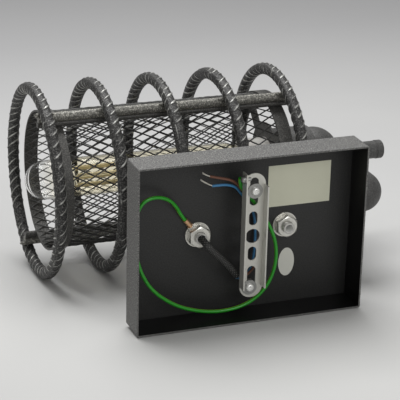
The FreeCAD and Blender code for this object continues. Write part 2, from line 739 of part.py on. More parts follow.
def make_upper_elbow():
    """Make the reducing elbow: a wide socket towards the cage, a pipe arm to the wall, a side boss."""
    centre = ("leg_offset", "cage_axis_height", "0")
    socket_end = "leg_offset - socket_shoulder / 2"
    barrel = cylinder("wide_socket", "socket_diameter",
                      "%s - socket_shoulder - (%s)" % (socket_end, SPIDER_FACE),
                      (SPIDER_FACE, "cage_axis_height", "0"), "+X")
    shoulder = cone("wide_shoulder", "socket_diameter", "fitting_diameter", "socket_shoulder",
                    ("%s - socket_shoulder" % socket_end, "cage_axis_height", "0"), "+X")
    corner = ball("upper_ball", "upper_ball_diameter", centre, "+X")
    walls, voids = arm("upper_leg", centre, "-Y", "upper_centre_to_end")
    boss = cylinder("side_boss", "boss_diameter", "boss_reach",
                    ("leg_offset", "cage_axis_height", "-stub_drop"), "+X")
    seat = cylinder("holder_seat", "socket_bore", "socket_bore_depth",
                    (SPIDER_FACE, "cage_axis_height", "0"), "+X")
    passage = cylinder("cable_passage", "waterway_diameter", "leg_offset - (%s)" % SOCKET_FLOOR,
                       (SOCKET_FLOOR, "cage_axis_height", "0"), "+X")
    turn = ball("upper_hollow", "waterway_diameter", centre)
    stub_socket = cylinder("stub_socket", "stub_diameter", "stub_engagement",
                           ("leg_offset + boss_reach", "cage_axis_height", "-stub_drop"), "-X")
    outside = fuse("upper_outside", [barrel, shoulder, corner, boss] + walls)
    keep(cut("upper_corner", outside, [seat, passage, turn, stub_socket] + voids), "upper_elbow")


def make_stub():
    start = "leg_offset + boss_reach - stub_engagement"
    cap_face = "stub_end - stub_cap_length"
    keep(pipe("stub", "stub_diameter - 2 * thread_clearance", "stub_diameter - 2 * stub_wall",
              "%s - (%s)" % (cap_face, start), (start, "cage_axis_height", "-stub_drop"), "+X"), "stub_pipe")
    block = cylinder("stub_cap_block", "stub_cap_diameter", "stub_cap_length",
                     (cap_face, "cage_axis_height", "-stub_drop"), "+X")
    doc.recompute()
    rim = ["Edge%d" % (number + 1) for number, edge in enumerate(block.Shape.Edges)
           if abs(edge.BoundBox.XMin - size("stub_end")) < NEARLY and edge.BoundBox.XLength < NEARLY]
    rounded = doc.addObject("Part::Fillet", "stub_cap_rounded")
    rounded.Base = block
    radius = size("stub_cap_rounding")
    rounded.Edges = [(int(name[4:]), radius, radius) for name in rim]
    keep(rounded, "stub_cap")


# ---------------------------------------------------------------------------------------------
# Cage: rings of ribbed bar, paired longitudinal bars, hoops, spider plate and expanded metal
# ---------------------------------------------------------------------------------------------
RING_COUNT = 5


def make_rings():
    for number in range(RING_COUNT):
        ring = primitive("Torus", "ring_bar_%d" % (number + 1),
                         ("ring_first + %d * ring_pitch" % number, "cage_axis_height", "0"), "+X",
                         Radius1="ring_radius", Radius2="ring_bar_diameter / 2")
        keep(ring, "cage_ring_%d" % (number + 1))


def make_bars():
    """Place a bar under the rings and a rod under the bar, above and below the cage axis."""
    last = "ring_first + %d * ring_pitch" % (RING_COUNT - 1)
    bar_axis = "(ring_radius - ring_bar_diameter / 2 - bar_diameter / 2)"
    rod_axis = "(hoop_diameter / 2 + rod_diameter / 2)"
    for side, word in ((1, "upper"), (-1, "lower")):
        for piece, axis, thickness in (("bar", bar_axis, "bar_diameter"), ("rod", rod_axis, "rod_diameter")):
            depth = "cage_axis_height - %d * %s * cos(bar_angle * 1deg)" % (side, axis)
            up = "%d * %s * sin(bar_angle * 1deg)" % (side, axis)
            start = ("ring_first - bar_overhang", depth, up)
            length = "%s - ring_first + 2 * bar_overhang" % last
            keep(cylinder("%s_%s_solid" % (word, piece), thickness, length, start, "+X"),
                 "cage_%s_%s" % (piece, word))


def make_hoops():
    inner = "hoop_diameter - 2 * hoop_thickness"
    right = "%s - hoop_width" % BASKET_END
    for word, start in (("left", "basket_left"), ("right", right)):
        keep(pipe("hoop_" + word, "hoop_diameter", inner, "hoop_width", (start, "cage_axis_height", "0"),
                  "+X"),
             "basket_hoop_" + word)


def make_spider():
    """Make the end plate that joins the basket to the wide socket: hub, rim and flat spokes."""
    outer = "(hoop_diameter - 2 * hoop_thickness - 2 * mesh_clearance)"
    face = ("%s - spider_thickness" % SPIDER_FACE, "cage_axis_height", "0")
    rim = pipe("spider_rim_ring", outer, "%s - 2 * spider_rim" % outer, "spider_thickness", face, "+X")
    hub = cylinder("spider_hub_disc", "spider_hub", "spider_thickness", face, "+X")
    spokes = []
    for number in range(int(size("spider_spokes"))):
        spoke = doc.addObject("Part::Box", "spider_spoke_%d" % (number + 1))
        spoke.setExpression("Length", bound("spider_thickness"))
        spoke.setExpression("Width", bound("spider_spoke"))
        spoke.setExpression("Height", bound("(%s - spider_rim) / 2" % outer))
        turn = Rotation(Vector(1, 0, 0), 360 * number / size("spider_spokes") + 45)
        offset = turn.multVec(Vector(0, -size("spider_spoke") / 2, 0))
        spoke.Placement = Placement(point(*face) + offset, turn)
        spokes.append(spoke)
    opening = cylinder("spider_bore", "holder_diameter + 2 * thread_clearance", "spider_thickness", face,
                       "+X")
    keep(cut("spider", fuse("spider_blank", [rim, hub] + spokes), [opening]), "basket_spider")


def make_mesh():
    """Cut one panel of expanded metal and repeat it round the cage axis."""
    lines = int(size("2 * cells_around"))
    panels = int(size("panels_around"))
    strips = lines // panels
    step = 2 * math.pi / lines
    outer = size("hoop_diameter / 2 - hoop_thickness - mesh_clearance")
    gauge = size("mesh_thickness")
    inner = outer - gauge
    start = size("basket_left + mesh_end_gap")
    length = size("%s - spider_thickness - 0.2" % SPIDER_FACE) - start
    cell = length / size("cells_along")
    half_height = outer * math.sin(step)
    side_distance = cell / 2 * half_height / math.hypot(cell / 2, half_height)
    open_share = 1 - size("mesh_strand") / (2 * side_distance)

    def spot(line, radius, along=0.0):
        return Vector(along, -radius * math.cos(line * step), radius * math.sin(line * step))

    section = [spot(line, outer) for line in range(strips + 1)]
    section += [spot(line, inner) for line in range(strips, -1, -1)]
    sheet = Part.Face(Part.makePolygon(section + section[:1])).extrude(Vector(length, 0, 0))
    cutters = []
    for line in range(strips + 1):
        outward = spot(line, 1.0)
        tangent = Vector(0, math.sin(line * step), math.cos(line * step))
        first = 0.5 if line % 2 == 0 else 1.0
        for number in range(int(size("cells_along")) - line % 2):
            middle = outward * (inner - gauge) + Vector((number + first) * cell, 0, 0)
            right = Vector(cell / 2 * open_share, 0, 0)
            rise = tangent * (half_height * open_share)
            corners = [middle - right, middle - rise, middle + right, middle + rise]
            diamond = Part.Face(Part.makePolygon(corners + corners[:1]))
            cutters.append(diamond.extrude(outward * (3 * gauge)))
    panel = sheet.cut(Part.makeCompound(cutters))
    pieces = []
    for number in range(panels):
        piece = panel.copy()
        piece.rotate(Vector(0, 0, 0), Vector(1, 0, 0), -math.degrees(step * strips * number))
        pieces += piece.Solids
    feature = doc.addObject("Part::Feature", "expanded_metal")
    feature.Shape = Part.makeCompound(pieces)
    feature.Placement = Placement(Vector(start, size("cage_axis_height"), 0), Rotation())
    print("basket_mesh: %d solids, cell %.1f x %.1f" % (len(pieces), cell, 2 * half_height))
    keep(feature, "basket_mesh")


# ---------------------------------------------------------------------------------------------
# Lamp holder and bulb
# ---------------------------------------------------------------------------------------------
HOLDER_MOUTH = "%s - holder_reach" % SPIDER_FACE
CAVITY_FLOOR = "%s + holder_cavity_depth" % HOLDER_MOUTH
PIP_END = "%s - contact_height - contact_gap" % CAVITY_FLOOR
CAP_START = "%s - pip_length - insulator_length - cap_length" % PIP_END


def on_axis(x):
    return (x, "cage_axis_height", "0")


def make_holder():
    length = "%s - (%s)" % (SOCKET_FLOOR, HOLDER_MOUTH)
    body = cylinder("holder_barrel", "holder_diameter", length, on_axis(HOLDER_MOUTH), "+X")
    flange = cylinder("holder_foot", "socket_bore - 2 * thread_clearance", "holder_flange",
                      on_axis(SOCKET_FLOOR), "-X")
    lip = cylinder("holder_lip", "holder_diameter + 2 * holder_lip", "holder_flange", on_axis(HOLDER_MOUTH),
                   "+X")
    cavity = cylinder("holder_cavity", "holder_cavity_diameter", "holder_cavity_depth",
                      on_axis(HOLDER_MOUTH), "+X")
    outlet = cylinder("holder_outlet", "contact_diameter", length, on_axis(CAVITY_FLOOR), "+X")
    keep(cut("holder", fuse("holder_outside", [body, flange, lip]), [cavity, outlet]), "lamp_holder")
    keep(pipe("shell", "shell_outer", "shell_inner", "shell_length",
              on_axis("%s - shell_length" % CAVITY_FLOOR), "+X"), "holder_shell")
    contact = cylinder("contact_button", "contact_diameter * 0.8", "contact_height", on_axis(CAVITY_FLOOR),
                       "-X")
    stem = cylinder("contact_stem", "contact_diameter", "contact_height", on_axis(CAVITY_FLOOR), "+X")
    keep(fuse("contact", [contact, stem]), "holder_contact")


def make_bulb():
    cap = pipe("cap_shell", "cap_diameter", "cap_diameter - 2 * cap_wall", "cap_length", on_axis(CAP_START),
               "+X")
    keep(cap, "bulb_cap")
    insulator_start = "%s + cap_length" % CAP_START
    keep(cone("insulator", "cap_diameter", "pip_diameter", "insulator_length", on_axis(insulator_start),
              "+X"),
         "bulb_insulator")
    keep(cylinder("pip", "pip_diameter", "pip_length", on_axis("%s - pip_length" % PIP_END), "+X"),
         "bulb_contact")

    dome = "bulb_tip + bulb_diameter / 2"
    neck_start = "%s - neck_length" % CAP_START
    tube_length = "%s - (%s)" % (neck_start, dome)
    glass = "2 * glass_thickness"
    outside = [ball("glass_dome", "bulb_diameter", on_axis(dome)),
               cylinder("glass_tube", "bulb_diameter", tube_length, on_axis(dome), "+X"),
               cone("glass_neck", "bulb_diameter", "neck_diameter", "neck_length", on_axis(neck_start), "+X")]
    inside = [ball("gas_dome", "bulb_diameter - %s" % glass, on_axis(dome)),
              cylinder("gas_tube", "bulb_diameter - %s" % glass, tube_length, on_axis(dome), "+X"),
              cone("gas_neck", "bulb_diameter - %s" % glass, "neck_diameter - %s" % glass, "neck_length",
                   on_axis(neck_start), "+X")]
    keep(cut("envelope", fuse("envelope_outside", outside), inside), "bulb_glass")

    stem_start = "%s - stem_length" % CAP_START
    stem = cylinder("stem_tube", "stem_diameter", "stem_length", on_axis(stem_start), "+X")
    foot = cylinder("stem_foot", "cap_diameter - 2 * cap_wall - 2 * thread_clearance", "cap_length / 2",
                    on_axis(CAP_START), "+X")
    mast_start = "filament_start - mast_overhang"
    filament_length = "(%s - star_gap - star_wire_diameter - filament_start)" % stem_start
    mast = cylinder("stem_mast", "mast_diameter", "%s - (%s)" % (stem_start, mast_start),
                    on_axis(mast_start), "+X")
    keep(fuse("stem", [stem, foot, mast]), "bulb_stem")

    filaments = []
    wires = []
    count = int(size("filament_count"))
    for number in range(count):
        angle = "%d * 360deg / filament_count + 90deg" % number
        depth = "cage_axis_height - filament_radius * cos(%s)" % angle
        up = "filament_radius * sin(%s)" % angle
        filaments.append(cylinder("filament_%d" % (number + 1), "filament_diameter", filament_length,
                                  ("filament_start", depth, up), "+X"))
        for end, across in (("tip", "filament_start - star_wire_diameter / 2"),
                            ("root", "filament_start + %s + star_wire_diameter / 2" % filament_length)):
            spoke = cylinder("star_%s_%d" % (end, number + 1), "star_wire_diameter",
                             "filament_radius + filament_diameter / 2", on_axis(across))
            turn = Rotation(Vector(1, 0, 0), 360 * number / count)
            spoke.Placement = Placement(point(*on_axis(across)), turn)
            wires.append(spoke)
    keep(group("filament_set", filaments), "bulb_filaments")
    posts = fuse("star_wires", wires)
    keep(cut("support", posts,
             [cylinder("mast_hole", "mast_diameter", "%s + 4 * mast_overhang" % filament_length,
                                         on_axis("filament_start - 2 * mast_overhang"), "+X")]),
         "filament_supports")


# ---------------------------------------------------------------------------------------------
# Stickers on the plate's floor, both left bare
# ---------------------------------------------------------------------------------------------
def make_stickers():
    face = "%s - sticker_thickness" % PLATE_FLOOR
    label = doc.addObject("Part::Box", "label_sheet")
    label.setExpression("Length", bound("label_width"))
    label.setExpression("Width", bound("sticker_thickness"))
    label.setExpression("Height", bound("label_height"))
    place(label, ("label_across - label_width / 2", face, "label_up - label_height / 2"))
    keep(label, "bare_label")
    oval = doc.addObject("Part::Ellipse", "oval_outline")
    oval.setExpression("MajorRadius", bound("oval_height / 2"))
    oval.setExpression("MinorRadius", bound("oval_width / 2"))
    oval.Placement = Placement(point("oval_across", face, "oval_up"), Rotation(Vector(1, 1, 1), 240))
    sheet = doc.addObject("Part::Extrusion", "oval_sheet")
    sheet.Base = oval
    sheet.DirMode = "Custom"
    sheet.Dir = Vector(0, 1, 0)
    sheet.setExpression("LengthFwd", bound("sticker_thickness"))
    sheet.Solid = True
    keep(sheet, "oval_sticker")


make_back_plate()
make_bracket()
make_bracket_fasteners()
make_earth_screw()
make_nipples()
make_earth_lug()
make_conductors()
make_base_run()
make_upper_elbow()
make_stub()
make_rings()
make_bars()
make_hoops()
make_spider()
make_mesh()
make_holder()
make_bulb()
make_stickers()
doc.recompute()

# ---------------------------------------------------------------------------------------------
# Check every feature, then write one STEP file per node
# ---------------------------------------------------------------------------------------------
for item in doc.Objects:
    if "Invalid" in item.State or "Error" in item.State:
        raise RuntimeError("%s failed: %s" % (item.Name, item.State))
os.makedirs("parts", exist_ok=True)
for node in nodes:
    if node.Shape.isNull() or not node.Shape.isValid():
        raise RuntimeError("%s has no valid shape" % node.Label)
    print("%-24s %2d solids %12.1f mm3" % (node.Label, len(node.Shape.Solids), node.Shape.Volume))
for node in nodes:
    node.Shape.exportStep("parts/%s.step" % node.Label)
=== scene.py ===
import math
import random

import bmesh
import bpy
import numpy as np
from mathutils import Euler, Matrix, Vector


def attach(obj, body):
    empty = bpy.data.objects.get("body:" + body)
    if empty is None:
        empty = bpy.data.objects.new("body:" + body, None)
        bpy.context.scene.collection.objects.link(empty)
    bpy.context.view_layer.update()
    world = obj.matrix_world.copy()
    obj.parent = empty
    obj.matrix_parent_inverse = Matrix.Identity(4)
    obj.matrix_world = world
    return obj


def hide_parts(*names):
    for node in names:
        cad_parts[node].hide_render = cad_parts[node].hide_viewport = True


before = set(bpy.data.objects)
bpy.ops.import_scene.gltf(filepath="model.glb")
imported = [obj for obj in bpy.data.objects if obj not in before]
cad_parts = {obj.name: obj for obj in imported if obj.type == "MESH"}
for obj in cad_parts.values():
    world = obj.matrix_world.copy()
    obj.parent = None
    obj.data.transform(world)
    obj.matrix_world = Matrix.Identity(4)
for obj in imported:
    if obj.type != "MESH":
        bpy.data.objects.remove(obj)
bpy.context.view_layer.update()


# ------------------------------------------------------------------ table, light and camera
# A seamless pale board under two soft lamps and a plain sky. The wall light lies on the lower
# edge of its plate and on its rings, so the board is tilted a little in the frame of the wall.
class Term:
    """One output in a material's tree. Arithmetic on it adds Math nodes."""

    def __init__(self, tree, socket):
        self.tree = tree
        self.socket = socket

    def math(self, operation, *others):
        return add_node(self.tree, "Math", {"operation": operation}, dict(enumerate((self, *others))))

    def clamped(self):
        return self.math("MINIMUM", 1.0).math("MAXIMUM", 0.0)

    def __add__(self, other):
        return self.math("ADD", other)

    def __sub__(self, other):
        return self.math("SUBTRACT", other)

    def __rsub__(self, other):
        return add_node(self.tree, "Math", {"operation": "SUBTRACT"}, {0: other, 1: self})

    def __mul__(self, other):
        return self.math("MULTIPLY", other)

    def __gt__(self, other):
        return self.math("GREATER_THAN", other)

    def __lt__(self, other):
        return self.math("LESS_THAN", other)

    __radd__ = __add__
    __rmul__ = __mul__


def add_node(tree, kind, settings=None, inputs=None, output=0):
    """Add one node: its settings first, then the values or links of its sockets."""
    node = tree.nodes.new("ShaderNode" + kind)
    for key, value in (settings or {}).items():
        if key == "stops":
            elements = node.color_ramp.elements
            while len(elements) < len(value):
                elements.new(0.5)
            for element, (position, colour) in zip(elements, value):
                element.position = position
                element.color = (*colour, 1)
        else:
            setattr(node, key, value)
    for key, value in (inputs or {}).items():
        feed(tree, node.inputs[key], value)
    return Term(tree, node.outputs[output])


def feed(tree, socket, value):
    """Link a term to a socket, or set the socket to a plain value."""
    if isinstance(value, Term):
        tree.links.new(value.socket, socket)
    elif hasattr(value, "__len__") and len(value) == 3 and socket.type == "RGBA":
        socket.default_value = (*value, 1)
    else:
        socket.default_value = value


def new_finish(name):
    """Return a material, its tree and its Principled shader."""
    finish = bpy.data.materials.new(name)
    finish.use_nodes = True
    tree = finish.node_tree
    return finish, tree, tree.nodes["Principled BSDF"]


def noise(tree, at, scale, detail=3.0, roughness=0.55):
    """Cloudy noise from 0 to 1 at a place; a higher scale makes it finer."""
    return add_node(tree, "TexNoise", {},
                    {"Vector": at, "Scale": scale, "Detail": detail, "Roughness": roughness})


def place_on(tree):
    """Return the position in the frame of the wall, in metres."""
    return add_node(tree, "TexCoord", output=3)


def parts_of(tree, place):
    """Return the three parts of a place, each as a term."""
    split = add_node(tree, "SeparateXYZ", {}, {0: place})
    return [Term(tree, output) for output in split.socket.node.outputs]


def blend_colours(tree, share, low, high):
    """Go from the low colour to the high one as the share grows from 0 to 1."""
    return add_node(tree, "Mix", {"data_type": "RGBA"}, {0: share, 6: low, 7: high}, output=2)


def ramp(tree, value, stops):
    """Turn a value into a colour, by stops of (value, colour)."""
    return add_node(tree, "ValToRGB", {"stops": stops}, {0: value})


def raise_surface(tree, height, strength, distance):
    """Return a normal that shows a height, distance in metres, on a flat face."""
    return add_node(tree, "Bump", {}, {"Height": height, "Strength": strength, "Distance": distance})


def in_scene(name, data):
    """Put a new object with this data in the scene."""
    thing = bpy.data.objects.new(name, data)
    bpy.context.collection.objects.link(thing)
    return thing


def board_finish():
    """Pale matt board, with painted shade that makes it a little darker towards the back."""
    finish, tree, shader = new_finish("pale_board")
    spot = place_on(tree)
    # Painted shade: the board's colour is blended darker towards the back, where less light reaches it.
    painted_shade_share = (parts_of(tree, spot)[1] - 0.1) * 0.9
    near_shade = ramp(tree, noise(tree, spot, 3.0),
                      [(0.35, (0.53, 0.53, 0.525)), (0.65, (0.565, 0.565, 0.555))])
    feed(tree, shader.inputs["Base Color"],
         blend_colours(tree, painted_shade_share.clamped(), near_shade, (0.41, 0.41, 0.415)))
    shader.inputs["Roughness"].default_value = 0.85
    return finish


BOARD_REACH = 4.0
PLATE_EDGE_HEIGHT = -0.0735
RING_FOOT_HEIGHT = -0.0895
RING_FOOT_DEPTH = 0.1875
board_slope = (RING_FOOT_HEIGHT - PLATE_EDGE_HEIGHT) / RING_FOOT_DEPTH
board_mesh = bpy.data.meshes.new("table")
board_corners = [(BOARD_REACH * x, BOARD_REACH * y) for x, y in ((-1, -1), (1, -1), (1, 1), (-1, 1))]
board_mesh.from_pydata([(x, y, PLATE_EDGE_HEIGHT + board_slope * y) for x, y in board_corners], [],
                       [(0, 1, 2, 3)])
table = in_scene("table", board_mesh)
board_mesh.materials.append(board_finish())

world = bpy.data.worlds.new("studio")
bpy.context.scene.world = world
world.use_nodes = True
world.node_tree.nodes["Background"].inputs[0].default_value = (1.0, 0.995, 0.98, 1)
world.node_tree.nodes["Background"].inputs[1].default_value = 0.40
SOFTBOXES = (("roof_softbox", (-0.12, 0.75, 1.5), (0.0, 0.1, 0.0), 1.3, 29.0),
             ("front_softbox", (0.3, -1.7, 1.0), (0.0, 0.0, 0.0), 0.9, 10.0))
for name, where, aim, width, power in SOFTBOXES:
    lamp_data = bpy.data.lights.new(name, "AREA")
    lamp_data.shape = "SQUARE"
    lamp_data.size = width
    lamp_data.energy = power
    lamp = in_scene(name, lamp_data)
    lamp.location = where
    lamp.rotation_euler = (Vector(aim) - Vector(where)).to_track_quat("-Z", "Y").to_euler()

camera_data = bpy.data.cameras.new("camera")
camera_data.lens = 147.03
camera_data.sensor_width = 36.0
camera_data.clip_end = 20.0
camera = in_scene("camera", camera_data)
camera.location = (-0.4751, -1.1394, 0.5142)
camera.rotation_euler = Euler((1.2004905, -0.0226991, -0.3498538))
bpy.context.scene.camera = camera
bpy.context.scene.view_settings.view_transform = "Standard"


# ------------------------------------------------------------------ back plate
# A tray folded from 1.5 mm sheet steel and powder coated a dark graphite with a fine sandy
# grain outside; the inside got a thin, smoother coat, with painted shade of the recess on it.
def dress(node, finish):
    """Give a CAD node its finish."""
    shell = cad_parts[node]
    shell.data.materials.clear()
    shell.data.materials.append(finish)


INSIDE_HALF_WIDTH = 0.0986
INSIDE_HALF_HEIGHT = 0.0714
INSIDE_DEPTH = 0.0286
WALL_DEPTH = 0.0283


def plate_finish():
    """Sandy paint outside; inside, a dark smooth coat with painted shade, and walls darker still as
    painted shade.
    """
    finish, tree, shader = new_finish("graphite_powder_coat")
    spot = place_on(tree)
    across, deep, up = parts_of(tree, spot)
    inside = ((across.math("ABSOLUTE") < INSIDE_HALF_WIDTH) * (deep < INSIDE_DEPTH)
              * (up.math("ABSOLUTE") < INSIDE_HALF_HEIGHT))
    wall = inside * (deep < WALL_DEPTH)
    grain = noise(tree, spot, 950.0, 3.0, 0.7)
    cloud = noise(tree, spot, 14.0, 3.0)
    sandy = ramp(tree, grain, [(0.34, (0.050, 0.050, 0.050)), (0.52, (0.125, 0.124, 0.120)),
                               (0.68, (0.36, 0.355, 0.34))])
    smooth = ramp(tree, grain, [(0.36, (0.006, 0.006, 0.006)), (0.64, (0.021, 0.021, 0.020))])
    # Painted shade: the inside is coloured darker than its smooth coat alone, and its walls nearly
    # black, for the shade of the recess.
    inside_painted_shade = blend_colours(tree, wall, smooth, (0.001, 0.001, 0.001))
    feed(tree, shader.inputs["Base Color"], blend_colours(tree, inside, sandy, inside_painted_shade))
    feed(tree, shader.inputs["Roughness"], 0.52 - 0.12 * inside + 0.10 * cloud)
    feed(tree, shader.inputs["Metallic"], 0.35 * (1 - inside))
    feed(tree, shader.inputs["Normal"], raise_surface(tree, grain, 0.35, 0.0002))
    return finish


dress("back_plate", plate_finish())


# ------------------------------------------------------------------ mounting bracket
# A channel pressed from 1.2 mm strip, slotted in one stroke and zinc plated: bright and
# slightly milky, with fine lengthways draw marks. Two screws hold it to the plate.
def zinc_finish(name, shade, marks, metallic=0.92):
    """Zinc plate: marks is the direction scale of the fine scratches."""
    finish, tree, shader = new_finish(name)
    spot = place_on(tree)
    stretched = add_node(tree, "Mapping", {}, {"Vector": spot, "Scale": marks})
    streak = noise(tree, stretched, 900.0, 4.0, 0.65)
    milk = noise(tree, spot, 60.0, 3.0)
    bright = tuple(min(1.0, 1.18 * part) for part in shade)
    feed(tree, shader.inputs["Base Color"], blend_colours(tree, milk, shade, bright))
    feed(tree, shader.inputs["Roughness"], 0.20 + 0.20 * streak + 0.10 * milk)
    shader.inputs["Metallic"].default_value = metallic
    feed(tree, shader.inputs["Normal"], raise_surface(tree, streak, 0.12, 0.0001))
    return finish


dress("mounting_bracket", zinc_finish("bracket_zinc", (0.53, 0.525, 0.485), (1.0, 1.0, 0.05), 0.5))


# ------------------------------------------------------------------ bracket screws
# Two M4 pan-head screws, cold headed from wire, with a cross recess and large flat washers;
# nuts lock them behind the bracket and closed cap nuts finish them on the room side.
AROUND = 96


def on_circle(radius, share, height):
    """Return the point at a radius, a share of a full turn and a height."""
    return radius * math.cos(2 * math.pi * share), radius * math.sin(2 * math.pi * share), height


def stand_along(mesh_in_work, base, way):
    """Stand a mesh that was made upright at the origin on a base point, along a direction."""
    turn = Vector((0, 0, 1)).rotation_difference(Vector(way)).to_matrix().to_4x4()
    bmesh.ops.transform(mesh_in_work, matrix=Matrix.Translation(base) @ turn, verts=mesh_in_work.verts)


def turned_piece(name, profile, base, way):
    """Spin a profile of (radius, height) pairs round an axis from a base point."""
    rings = bmesh.new()
    rows = [[rings.verts.new(on_circle(radius, k / AROUND, height)) for k in range(AROUND)]
            for radius, height in profile]
    for low, high in zip(rows, rows[1:]):
        for k in range(AROUND):
            rings.faces.new((low[k], low[(k + 1) % AROUND], high[(k + 1) % AROUND], high[k]))
    rings.faces.new(reversed(rows[0]))
    rings.faces.new(rows[-1])
    stand_along(rings, base, way)
    return as_piece(name, rings)


def as_piece(name, mesh_in_work, smooth=True):
    """Turn a mesh in work into an object, with sharp edges kept sharp."""
    mesh = bpy.data.meshes.new(name)
    bmesh.ops.recalc_face_normals(mesh_in_work, faces=mesh_in_work.faces)
    mesh_in_work.to_mesh(mesh)
    mesh_in_work.free()
    if smooth:
        mesh.shade_smooth()
        mesh.set_sharp_from_angle(angle=math.radians(38))
    return in_scene(name, mesh)


def join_pieces(pieces, name):
    """Make one piece of several."""
    joined = bmesh.new()
    for piece in pieces:
        joined.from_mesh(piece.data)
        bpy.data.objects.remove(piece)
    return as_piece(name, joined)


SCREW_PLACES = ((0.0026, 0.0414), (0.0004, -0.0440))
HEAD_TOP = 0.0044
FACE_MARGIN = 0.00005
HEAD_FACE = [(0.00015 * step, 0.0) for step in range(1, 14)]
HEAD_RIM = [(0.0027, 0.0003), (0.0032, 0.0008), (0.0035, 0.0014), (0.0035, 0.0026)]
SHANK = [(0.0019, 0.0027), (0.0019, 0.0303), (0.0016, 0.0306)]
RECESS_DEPTH = 0.0012
ARM_HALF_WIDTH = 0.00070
ARM_REACH = 0.0020


def recess_at(across, up):
    """Return how deep the cross recess is at a place on a screw head."""
    arm, reach = sorted((abs(across), abs(up)))
    walls = min(1.0, max(0.0, (ARM_HALF_WIDTH - arm) / 0.00025))
    ends = min(1.0, max(0.0, (ARM_REACH - reach) / 0.0006))
    return RECESS_DEPTH * walls * ends


screw_zinc = zinc_finish("screw_zinc", (0.80, 0.80, 0.78), (1.0, 1.0, 1.0), 0.6)
washer_zinc = zinc_finish("washer_zinc", (0.30, 0.30, 0.29), (1.0, 1.0, 1.0), 0.7)
heads = []
for across, up in SCREW_PLACES:
    head = turned_piece("head", HEAD_FACE + HEAD_RIM + SHANK, (across, HEAD_TOP, up), (0, 1, 0))
    for vertex in head.data.vertices:
        if vertex.co.y < HEAD_TOP + FACE_MARGIN:
            vertex.co.y += recess_at(vertex.co.x - across, vertex.co.z - up)
    heads.append(head)
screws = join_pieces(heads, "bracket_screw_pair")
screws.data.materials.append(screw_zinc)
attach(screws, "fixture")
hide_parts("bracket_screws")
for node in ("bracket_washers", "lock_nuts", "earth_washer", "earth_screw"):
    dress(node, washer_zinc)


# ------------------------------------------------------------------ nipples, nuts and lug
# Hollow M10 nipples of plated tube clamp the pipe spigots to the plate with hexagon nuts and
# lock washers; a stamped copper ring lug, tinned on its ring, sits under the left nut.
NIPPLE_ACROSS = 0.039
PALE_BORE_RADIUS = 0.0036
TINNED_RADIUS = 0.0109


def thread_finish(name, shade):
    """Plated thread with dirt in it, and a pale bore."""
    finish, tree, shader = new_finish(name)
    spot = place_on(tree)
    dirt = noise(tree, spot, 300.0)
    across, _, up = parts_of(tree, spot)
    off_axis = across.math("ABSOLUTE") - NIPPLE_ACROSS
    bore = (off_axis * off_axis + up * up).math("SQRT") < PALE_BORE_RADIUS
    plated = blend_colours(tree, dirt, tuple(0.6 * part for part in shade), shade)
    feed(tree, shader.inputs["Base Color"], blend_colours(tree, bore, plated, (0.82, 0.82, 0.80)))
    feed(tree, shader.inputs["Roughness"], 0.25 + 0.2 * dirt + 0.4 * bore)
    feed(tree, shader.inputs["Metallic"], 0.9 - 0.9 * bore)
    feed(tree, shader.inputs["Normal"], raise_surface(tree, dirt, 0.2, 0.0002))
    return finish


def skin(mesh_in_work, columns):
    """Join closed columns of vertices, each to the next, all the way round."""
    for k, here in enumerate(columns):
        there = columns[(k + 1) % len(columns)]
        for n in range(len(here)):
            after = (n + 1) % len(here)
            mesh_in_work.faces.new((here[n], there[n], there[after], here[after]))


def chamfered_nut(name, flats, bore, height, base):
    """Make a hexagon nut whose corners are turned off at thirty degrees, standing along +Y."""
    face = 0.485 * flats
    sixth = math.pi / 3
    nut = bmesh.new()
    columns = []
    for k in range(AROUND):
        angle = 2 * math.pi * k / AROUND
        corner = flats / 2 / math.cos((angle + sixth / 2) % sixth - sixth / 2)
        drop = (corner - face) * math.tan(math.pi / 6)
        column = [(bore / 2, 0), (face, 0), (corner, drop), (corner, height - drop), (face, height),
                  (bore / 2, height)]
        columns.append([nut.verts.new((base[0] + radius * math.cos(angle), base[1] + up,
                                       base[2] + radius * math.sin(angle))) for radius, up in column])
    skin(nut, columns)
    piece = as_piece(name, nut)
    piece.data.set_sharp_from_angle(angle=math.radians(20))
    return piece


THREAD_ROWS = 8
THREAD_STEPS = 48


def threaded_tube(name, node, wall, pitch, depth, way):
    """Turn a tube with an outside thread, as long and as wide as its CAD node."""
    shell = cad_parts[node]
    box = [shell.matrix_world @ Vector(corner) for corner in shell.bound_box]
    low, high = (Vector([pick(corner[n] for corner in box) for n in range(3)]) for pick in (min, max))
    axis = way.index(1)
    radius = (high.z - low.z) / 2
    length = high[axis] - low[axis]
    base = (low + high) / 2
    base[axis] = low[axis]
    rows = round(length / pitch * THREAD_ROWS)
    tube = bmesh.new()
    columns = []
    for k in range(THREAD_STEPS):
        share = k / THREAD_STEPS
        column = [(radius - wall, 0.0)]
        for row in range(rows + 1):
            height = length * row / rows
            fade = min(1.0, height / pitch, (length - height) / pitch)
            groove = 0.5 - 0.5 * math.cos(2 * math.pi * (height / pitch - share))
            column.append((radius - depth * fade * groove, height))
        column.append((radius - wall, length))
        columns.append([tube.verts.new(on_circle(out, share, height)) for out, height in column])
    skin(tube, columns)
    stand_along(tube, base, way)
    return as_piece(name, tube)


def lug_finish():
    """A tinned ring with a bare copper barrel."""
    finish, tree, shader = new_finish("ring_lug")
    spot = place_on(tree)
    across, _, up = parts_of(tree, spot)
    off_axis = across + NIPPLE_ACROSS
    away = (off_axis * off_axis + up * up).math("SQRT")
    rub = noise(tree, spot, 500.0)
    copper_tone = blend_colours(tree, rub, (0.52, 0.30, 0.16), (0.74, 0.47, 0.28))
    tinned = blend_colours(tree, rub, (0.52, 0.51, 0.49), (0.70, 0.69, 0.66))
    feed(tree, shader.inputs["Base Color"],
         blend_colours(tree, away > TINNED_RADIUS, tinned, copper_tone))
    feed(tree, shader.inputs["Roughness"], 0.25 + 0.2 * rub)
    shader.inputs["Metallic"].default_value = 0.8
    feed(tree, shader.inputs["Normal"], raise_surface(tree, rub, 0.15, 0.0002))
    return finish


